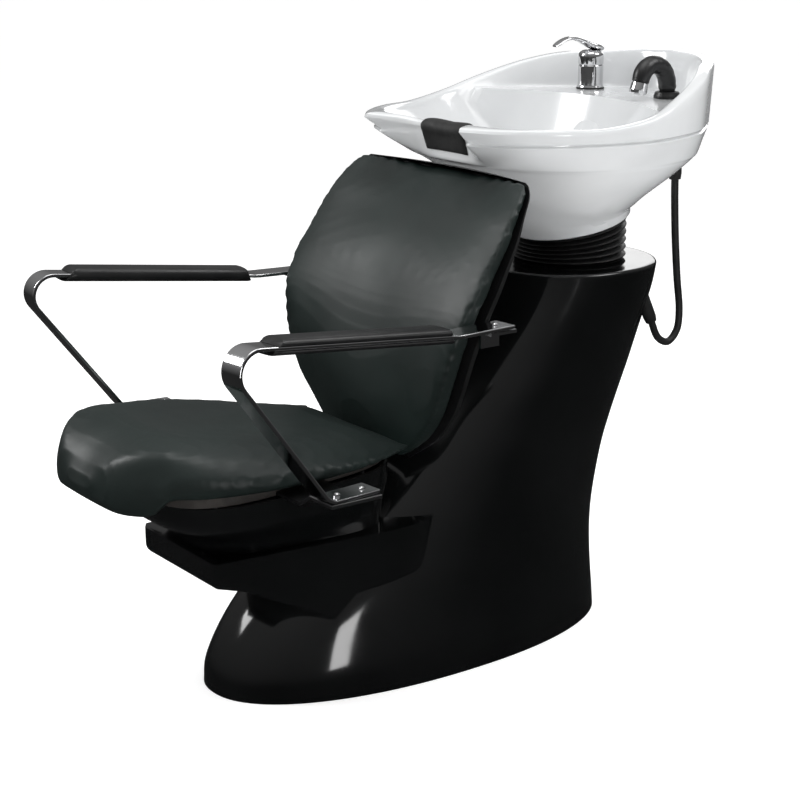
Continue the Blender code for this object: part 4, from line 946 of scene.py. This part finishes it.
def bowl_section(rim):
    section = outer_profile(rim) + lip_line(rim) + [basin_wall(rim, reach) for reach in basin_steps(rim)]
    edge = basin_edge(rim)
    away = Vector((edge.x - DRAIN.x, edge.y - DRAIN.y)).normalized() * DRAIN_HOLE_RADIUS
    for drop, factor in ((0.0, 1.06), (0.001, 1.0), (0.012, 1.0), (0.012, 1.5)):
        section.append(Vector((DRAIN.x + away.x * factor, DRAIN.y + away.y * factor, DRAIN.z - drop)))
    outside = outer_line(rim)
    rear = towards_rear(rim)
    section += [basin_wall(rim, front + (back - front) * rear, 0.012)
                for front, back in ((0.38, 0.38), (0.44, 0.50), (0.50, 0.62), (0.56, 0.75), (0.62, 0.87))]
    for front, back in ((9.0, 5.6), (9.5, 7.2), (10.0, 8.8), (10.5, 10.0), (11.0, 11.0)):
        at = front + (back - front) * rear
        index = min(int(at), len(outside) - 2)
        point = outside[index] + (outside[index + 1] - outside[index]) * (at - index)
        section.append(inward(point, 0.012) + Vector((0.0, 0.0, 0.004)))
    section.append(foot_point(rim, FOOT_RADIUS - FOOT_WALL, 0.016))
    section.append(foot_point(rim, FOOT_RADIUS - FOOT_WALL))
    section.append(foot_point(rim, FOOT_RADIUS - 0.002))
    section.append(foot_point(rim, FOOT_RADIUS, 0.002))
    return section


def make_bowl():
    sections = [bowl_section(rim) for rim in rim_points()]
    bowl = add_mesh("wash_bowl", loft(bmesh.new(), sections, loop=True), "ceramic", 48.0)
    place(bowl, "bowl", "ceramic", "bowl")


def offset_line(line, distances):
    moved = []
    for index, point in enumerate(line):
        along = line[min(len(line) - 1, index + 1)] - line[max(0, index - 1)]
        normal = along.cross(Vector((1.0, 0.0, 0.0))).normalized()
        moved.append(point - normal * distances[index])
    return moved


def make_neck_rest():
    """The soft saddle over the neck recess, with rounded edges all round."""
    rims = [rim for rim in rim_points() if rim.y < 0.2 and abs(rim.x) < 0.060]
    rims.sort(key=lambda rim: rim.x)
    rings = []
    for index, rim in enumerate(rims):
        outside = outer_line(rim)
        corners = [outside[5] + (outside[6] - outside[5]) * 0.4, outside[5], outside[4], outside[0]]
        edge = basin_edge(rim)
        corners += [rim + (edge - rim) * across - Vector((0.0, 0.0, drop - 0.007 * across)) for across, drop in LIP[1:]]
        corners += [basin_wall(rim, reach) for reach in (0.988, 0.975, 0.955, 0.935)]
        line = curve_through(corners, 4)
        side = 2 * index / (len(rims) - 1) - 1
        crown = (1 - abs(side) ** 10) ** 0.5 if abs(side) < 1 else 0.0
        far = []
        for step in range(len(line)):
            end = 2 * step / (len(line) - 1) - 1
            swell = (1 - abs(end) ** 14) ** 0.5 if abs(end) < 1 else 0.0
            far.append(0.0016 + 0.0050 * min(crown, swell))
        near = [0.0008] * len(line)
        rings.append(offset_line(line, near) + offset_line(line, far)[::-1])
    rest = add_mesh("neck_saddle", loft(bmesh.new(), rings, True, True), "dull", 60.0)
    place(rest, "bowl", "soft_rubber", "neck_rest")


def make_bellows():
    """The folded sleeve. It joins the pedestal to the bowl, so it bends between them."""
    folds, outer, inner = 6, 0.0985, 0.0885
    profile = []
    count = folds * 10
    for step in range(count + 1):
        wave = 0.5 - 0.5 * math.cos(2 * math.pi * folds * step / count)
        profile.append((inner + (outer - inner) * wave ** 0.8, step / count))
    profile[0] = (inner + 0.006, 0.0)
    profile[-1] = (inner + 0.006, 1.0)
    profile += [(inner - 0.003, 1.0), (inner - 0.003, 0.66), (inner - 0.003, 0.33), (inner - 0.003, 0.0)]
    rings = []
    for radius, rise in profile:
        ring = []
        for i in range(112):
            angle = 2 * math.pi * i / 112
            y = BOWL_CENTRE_Y + radius * math.sin(angle)
            low = PEDESTAL_TOP + 0.0003
            ring.append((radius * math.cos(angle), y, low + (foot_face(y) - 0.0003 - low) * rise))
        rings.append(ring)
    sleeve = add_mesh("bellows_sleeve", loft(bmesh.new(), rings, loop=True), "rubber", 60.0)
    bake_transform(sleeve)
    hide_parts("bellows")


# ---------------------------------------------------------------- tap, spray and hose

def make_mixer():
    at = Matrix.Translation(TAP)
    body = [(0.0, 0.0420), (0.0215, 0.0420), (0.0226, 0.0408), (0.0228, 0.0060), (0.0240, 0.0030),
            (0.0240, 0.0025), (0.0158, 0.0025), (0.0158, -0.0300), (0.0, -0.0300)]
    place(turned("tap_body", rounded(body, 0.0008), "chrome", at), "bowl", "chrome", "mixer_body")
    cap = [(0.0, 0.0690), (0.0080, 0.0686), (0.0165, 0.0668), (0.0212, 0.0632), (0.0228, 0.0580),
           (0.0226, 0.0434), (0.0216, 0.0424), (0.0, 0.0424)]
    place(turned("tap_cap", rounded(cap, 0.0030, 5), "chrome", at), "mixer_cap", "chrome", "mixer_cap")
    stations = [
        (-0.0110, -0.0050, 0.0080, 0.0020), (-0.0080, -0.0035, 0.0135, 0.0045), (0.0000, -0.0005, 0.0165, 0.0060),
        (0.0100, 0.0020, 0.0160, 0.0062), (0.0200, 0.0055, 0.0130, 0.0055), (0.0340, 0.0110, 0.0098, 0.0042),
        (0.0500, 0.0160, 0.0086, 0.0034), (0.0660, 0.0165, 0.0086, 0.0030), (0.0800, 0.0130, 0.0090, 0.0028),
        (0.0920, 0.0070, 0.0090, 0.0026), (0.0970, 0.0045, 0.0066, 0.0014),
    ]
    axis = Vector((TAP.x, TAP.y + 0.011, TAP.z + 0.0735))
    rings = []
    for ahead, up, half, thick in curve_through(stations, 3):
        ring = []
        for i in range(28):
            angle = 2 * math.pi * i / 28
            c, s = math.cos(angle), math.sin(angle)
            across = half * math.copysign(abs(c) ** 0.6, c)
            ring.append((axis.x + across, axis.y - ahead, axis.z + up + thick * s))
        rings.append(ring)
    lever = add_mesh("tap_lever", loft(bmesh.new(), rings, True, True), "chrome", 60.0)
    place(lever, "mixer_lever", "chrome", "mixer_lever")


def make_spray():
    route = [
        (SPRAY.y, SPRAY.z + 0.0035), (0.4775, 0.926), (0.4745, 0.940), (0.4670, 0.953), (0.4550, 0.9610),
        (0.4400, 0.9635), (0.4265, 0.9580), (0.4180, 0.9480), (0.4140, 0.9360),
    ]
    line = smooth_path([Vector((SPRAY.x, y, z)) for y, z in route], 0.002)
    radii = []
    for index in range(len(line)):
        along = index / (len(line) - 1)
        swell = min(1.0, max(0.0, (along - 0.06) / 0.06)) - 0.4 * max(0.0, (along - 0.88) / 0.12)
        ridge = 0.03 * math.cos(2 * math.pi * along * 9) if 0.15 < along < 0.75 else 0.0
        radii.append(1.02 + 0.22 * swell + min(0.0, ridge))
    head = add_mesh("spray_handle", tube_mesh(line, 0.0125, 32, radii), "satin", 60.0)
    place(head, "spray", "black_plastic", "spray_head")


def make_hose():
    path = smooth_path([Vector((HOSE_X, y, z)) for y, z in HOSE_ROUTE], 0.012)
    fine = smooth_path(path, 0.004)
    hose = add_mesh("supply_hose", tube_mesh(fine, HOSE_RADIUS, 20), "rubber", 60.0)
    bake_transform(hose)
    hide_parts("spray_hose")


# ---------------------------------------------------------------- CAD nodes that stay

KEPT = {
    "steel": ["floor_plate", "column", "seat_beam", "seat_riser", "back_bracket", "top_plate", "tilt_mount",
              "tilt_head", "tilt_pin"],
    "board": ["seat_board"],
    "satin": ["arm_outrigger", "spray_socket"],
    "rubber": ["mixer_gasket", "hose_gland", "hose_grommet"],
    "brass": ["mixer_nut"],
    "chrome": ["arm_bracket_left", "arm_bracket_right", "arm_rear_bolt_left", "arm_rear_bolt_right",
               "arm_foot_bolt_front_left", "arm_foot_bolt_front_right", "arm_foot_bolt_rear_left",
               "arm_foot_bolt_rear_right", "spray_nozzle", "drain_flange", "strainer"],
}


def finish_kept_nodes():
    for finish, names in KEPT.items():
        for name in names:
            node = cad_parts[name]
            for slot in node.material_slots:
                slot.material = MATERIALS[finish]


make_camera()
MATERIALS = make_materials()
make_hose()
make_studio()
make_pedestal()
make_tray()
make_seat_pan()
make_seat()
make_back()
make_arm(1, "right")
make_arm(-1, "left")
make_bowl()
make_neck_rest()
make_bellows()
make_mixer()
make_spray()
finish_kept_nodes()
